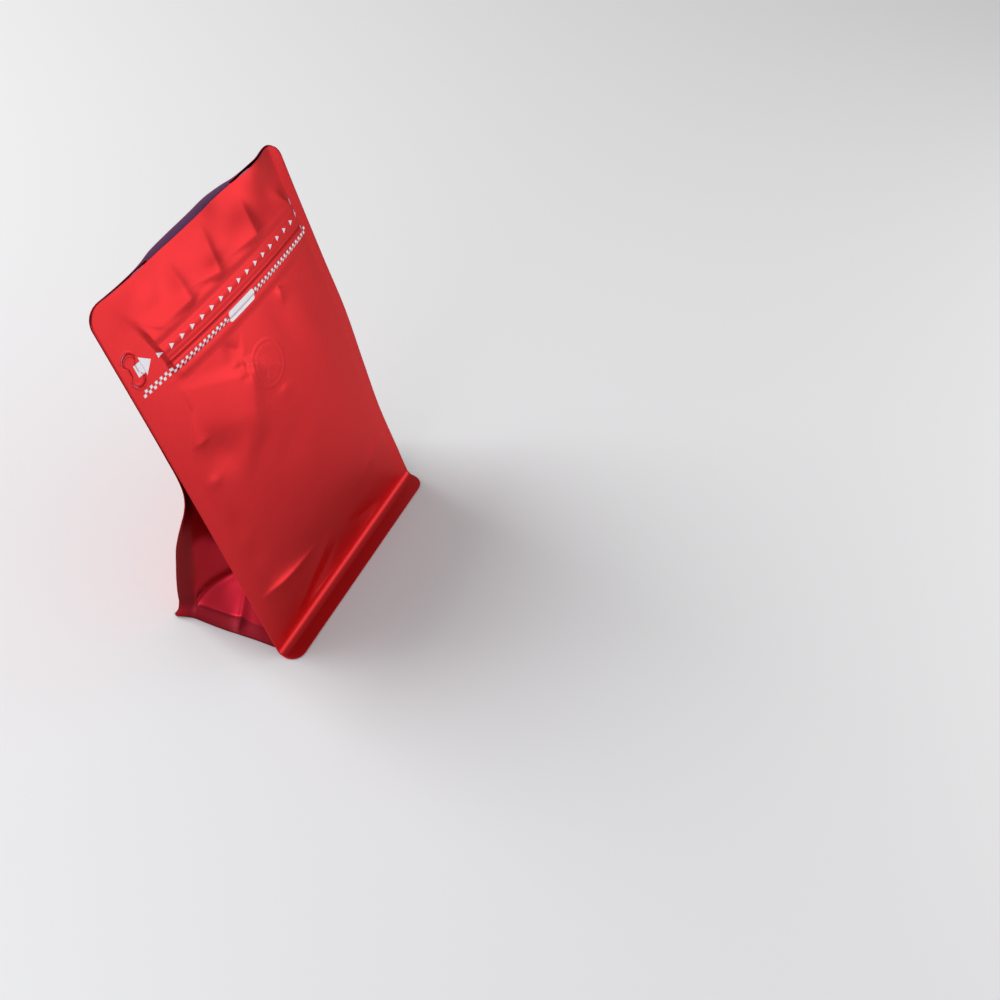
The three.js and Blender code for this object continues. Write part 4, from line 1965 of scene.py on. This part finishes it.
@dataclass
class PrintedMarks:
    """White ink on the front: a checkered strip, a row of arrowheads, a pill and a tab mark.

    Attributes:
        film: The front that they are printed on.
        palette: The finishes.
        lift: Height of the ink's face over the film.
        thickness: Of the ink.
        checker_left: u at which the strip begins.
        checker_right: u at which it ends.
        checker_low: v of its lower edge.
        cell: Side of one square.
        arrow_first: u at which the first arrowhead begins.
        arrow_step: Distance from one to the next.
        arrow_count: How many there are.
        arrow_v: v of their tips.
        arrow_size: Length and half width of one.
        tip: Width that is left at an arrowhead's points.
        pill: Left, right, low and high side of the pill.
        pill_corner: Radius of its corners.
        pill_line: Height in the pill of the thin line that parts it.
        pill_gap: Half that line's width.
        tab_square: Left, right, low and high side of the square beside the tab.
        tab_head: Length and half width of the arrowhead on the square.
        tab_v: v of its tip.
    """

    film: FrontFilm
    palette: Palette
    lift: float = 0.06
    thickness: float = 0.04
    checker_left: float = 4.6
    checker_right: float = 125.0
    checker_low: float = 156.9
    cell: float = 1.4
    arrow_first: float = 18.5
    arrow_step: float = 6.4
    arrow_count: int = 17
    arrow_v: float = 167.6
    arrow_size: Pair = (2.35, 1.3)
    tip: float = 0.02
    pill: tuple[float, float, float, float] = (57.0, 75.4, 155.4, 160.6)
    pill_corner: float = 1.4
    pill_line: float = 1.9
    pill_gap: float = 0.15
    tab_square: tuple[float, float, float, float] = (6.9, 10.6, 165.5, 171.0)
    tab_head: Pair = (4.8, 4.3)
    tab_v: float = 168.4

    def sheet(self, name: str, outlines: list[Points]) -> None:
        """Makes a thin printed layer that follows the film.

        Args:
            name: Name of the piece.
            outlines: (rows, columns, 2) film grids, one per mark.
        """
        places, faces = [], []
        for grid in outlines:
            first = sum(len(part) for part in places)
            places.append(grid.reshape(-1, 2))
            faces += [[first + i for i in quad] for quad in grid_faces(*grid.shape[:2], 1)]
        u, v = np.concatenate(places).T
        points = self.film.point(u, v, self.lift)
        piece = new_object(name, points, faces, np.stack([u, v, 0 * u], -1))
        thicken(piece, self.thickness)
        self.palette.dress(piece, Finish.INK, Finish.INK)
        enlist(piece, Slot.WHITE_PRINT)

    def block(self, u0: float, u1: float, v0: float, v1: float, size: Pair) -> Points:
        """A rectangular film grid.

        Args:
            u0: Its left side.
            u1: Its right side.
            v0: Its low side.
            v1: Its high side.
            size: Largest width and height of a cell of the grid.

        Returns:
            (rows, columns, 2) film places.
        """
        spans = zip((u1 - u0, v1 - v0), size)
        columns, rows = (max(2, math.ceil(length / step)) for length, step in spans)
        u, v = np.meshgrid(np.linspace(u0, u1, columns + 1), np.linspace(v0, v1, rows + 1))
        return np.stack([u, v], -1)

    def arrowhead(self, u: float, v: float, size: Pair, counts: tuple[int, int]) -> Points:
        """An arrowhead that points to the right.

        Args:
            u: Its flat left side.
            v: Height of its tip.
            size: Its length and half its width.
            counts: Rows and columns of the grid.

        Returns:
            (rows, columns, 2) film places.
        """
        length, half = size
        rows = np.linspace(-1, 1, counts[0])[:, None]
        columns = np.linspace(0, 1, counts[1])[None, :]
        across = u + columns * (length * (1 - np.abs(rows)) + self.tip)
        return np.stack([across, v + half * rows + 0 * columns], -1)

    def checkers(self) -> list[Points]:
        """The squares of the strip, in two rows, left out under the pill.

        Returns:
            One film grid per square.
        """
        made = []
        for i in range(int((self.checker_right - self.checker_left) / self.cell)):
            u = self.checker_left + i * self.cell
            v = self.checker_low + (i % 2) * self.cell
            if not self.pill[0] - self.cell < u < self.pill[1]:
                made.append(self.block(u, u + self.cell, v, v + self.cell, (0.5, 0.2)))
        return made

    def arrowheads(self) -> list[Points]:
        """The row of triangles that point along the tear, one film grid each."""
        starts = (self.arrow_first + i * self.arrow_step for i in range(self.arrow_count))
        return [self.arrowhead(u, self.arrow_v, self.arrow_size, (9, 7)) for u in starts]

    def pill_mark(self) -> list[Points]:
        """The bare pill on the strip, parted lengthwise by a thin line.

        Returns:
            The film grids of its lower and its upper part.
        """
        left, right, low, high = self.pill
        middle, radius = low + self.pill_line, self.pill_corner
        parts = ((low, middle - self.pill_gap, low), (middle + self.pill_gap, high, high))
        share = np.linspace(0, 1, 50)[None, :]
        made = []
        for v0, v1, outer in parts:
            v = np.linspace(v0, v1, 18)[:, None]
            away = np.clip(radius - np.abs(v - outer), 0, radius)
            inset = radius - np.sqrt(radius**2 - away**2)
            u = mix(left + inset, right - inset, share)
            made.append(np.stack([u, v + 0 * u], -1))
        return made

    def tab_mark(self) -> list[Points]:
        """The square and the arrowhead beside the tear tab, one film grid each."""
        square = self.block(*self.tab_square, (0.3, 0.3))
        return [square, self.arrowhead(self.tab_square[1], self.tab_v, self.tab_head, (25, 14))]

    def build(self) -> None:
        """Makes every printed mark."""
        self.sheet("checker_print", self.checkers())
        self.sheet("arrowhead_print", self.arrowheads())
        self.sheet("pill_print", self.pill_mark())
        self.sheet("tab_print", self.tab_mark())


# ---- the studio ------------------------------------------------------------------


@dataclass(frozen=True)
class Softbox:
    """A rectangular lamp that faces the bag.

    Attributes:
        name: Name of the lamp.
        place: Where it hangs, in metres.
        size: Its width and height, in metres.
        watts: Its power.
        color: Its colour.
        aim: The point that it faces.
    """

    name: str
    place: Triple
    size: Pair
    watts: float
    color: Triple = (1.0, 1.0, 1.0)
    aim: Triple = (0.0, 0.0, 0.08)

    def build(self) -> None:
        """Hangs the lamp."""
        data = bpy.data.lights.new(self.name, "AREA")
        data.shape = "RECTANGLE"
        data.size, data.size_y = self.size
        data.energy = self.watts
        data.color = self.color
        lamp = bpy.data.objects.new(self.name, data)
        back = np.array(self.place) - np.array(self.aim)
        back = back / np.linalg.norm(back)
        right = np.cross([0, 0, 1.0], back)
        right /= np.linalg.norm(right)
        axes = np.stack([right, np.cross(back, right), back], 1)
        lamp.matrix_world = Matrix.Translation(self.place) @ Matrix(axes.tolist()).to_4x4()
        bpy.context.scene.collection.objects.link(lamp)


@dataclass
class Studio:
    """Pale floor, soft lamps and the camera, in metres.

    Attributes:
        lens: Focal length of the camera, in millimetres.
        sensor: Width of its sensor, in millimetres.
        place: Where it stands.
        right: Direction of the picture's right.
        down: Direction of the picture's foot.
        ahead: Direction in which it looks.
        floor_half: Half the floor's side.
        floor_color: The floor's colour.
        floor_roughness: The floor's roughness.
        sky: Strength of the soft fill from all sides.
        boxes: The lamps.
    """

    lens: float = 41.32
    sensor: float = 36
    place: Triple = (-0.292765, -0.245562, 0.471911)
    right: Triple = (0.42727, -0.90397, 0.01652)
    down: Triple = (-0.6868, -0.3364, -0.64432)
    ahead: Triple = (0.588, 0.26395, -0.76458)
    floor_half: float = 3.0
    floor_color: Triple = (0.86, 0.86, 0.87)
    floor_roughness: float = 0.75
    sky: float = 0.36
    boxes: tuple[Softbox, ...] = (
        Softbox("key_softbox", (-0.15, 1.05, 1.2), (0.9, 0.9), 17),
        Softbox("front_softbox", (0.26, -0.68, 0.19), (0.76, 0.34), 1.54),
        Softbox("left_softbox", (-0.75, -0.02, 0.13), (0.34, 0.2), 1.6, (0.85, 0.88, 1.0)),
    )

    def floor(self) -> None:
        """Lays the pale floor."""
        half = self.floor_half
        corners = [(-half, -half, 0), (half, -half, 0), (half, half, 0), (-half, half, 0)]
        mesh = bpy.data.meshes.new("floor")
        mesh.from_pydata(corners, [], [(0, 1, 2, 3)])
        floor = bpy.data.objects.new("floor", mesh)
        bpy.context.scene.collection.objects.link(floor)
        material = bpy.data.materials.new("pale_floor")
        material.use_nodes = True
        shader = material.node_tree.nodes["Principled BSDF"]
        shader.inputs["Base Color"].default_value = (*self.floor_color, 1)
        shader.inputs["Roughness"].default_value = self.floor_roughness
        mesh.materials.append(material)

    def world(self) -> None:
        """Gives the room its soft fill."""
        world = bpy.data.worlds.new("room")
        world.use_nodes = True
        background = world.node_tree.nodes["Background"]
        background.inputs["Color"].default_value = (1.0, 1.0, 1.0, 1)
        background.inputs["Strength"].default_value = self.sky
        bpy.context.scene.world = world
        bpy.context.scene.view_settings.view_transform = "Standard"

    def camera(self) -> None:
        """Sets the camera at the measured viewpoint."""
        data = bpy.data.cameras.new("camera")
        data.lens = self.lens
        data.sensor_width = self.sensor
        data.clip_start = 0.01
        camera = bpy.data.objects.new("camera", data)
        axes = np.stack([self.right, -np.array(self.down), -np.array(self.ahead)], 1)
        camera.matrix_world = Matrix.Translation(self.place) @ Matrix(axes.tolist()).to_4x4()
        bpy.context.scene.collection.objects.link(camera)
        bpy.context.scene.camera = camera

    def build(self) -> None:
        """Sets up the whole studio."""
        self.camera()
        self.floor()
        self.world()
        for box in self.boxes:
            box.build()


# ---- putting it together ---------------------------------------------------------


def main() -> None:
    """Dresses the frame, piece by piece."""
    logging.basicConfig(level=logging.INFO, format="%(name)s: %(message)s")
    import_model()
    Studio().build()
    palette = Palette(Effects.build())
    front, back = FrontFilm(), BackFilm()
    shape = front.shape
    zip_rows = ((front.band.low - 0.5, front.band.high + 0.5),)
    front_web = WallWeb(front, 1, shape.front_fin).build("front_web", palette, zip_rows)
    enlist(front_web, Slot.RED_FILM, "front_panel")
    back_web = WallWeb(back, -1, shape.back_fin).build("back_web", palette)
    enlist(back_web, Slot.RED_FILM, "back_panel")
    for side in Side:
        label = side.name.lower()
        piece = SideGusset(front, back, side).build(f"{label}_gusset_web", palette)
        enlist(piece, Slot.RED_FILM, f"{label}_gusset")
    BaseWeb().build(palette)
    skins = DetailSkins(front, palette)
    skins.zip_band()
    skins.tear_tab()
    skins.valve()
    ZipTrack(front).build(palette)
    PrintedMarks(front, palette).build()


if __name__ == "__main__":
    main()
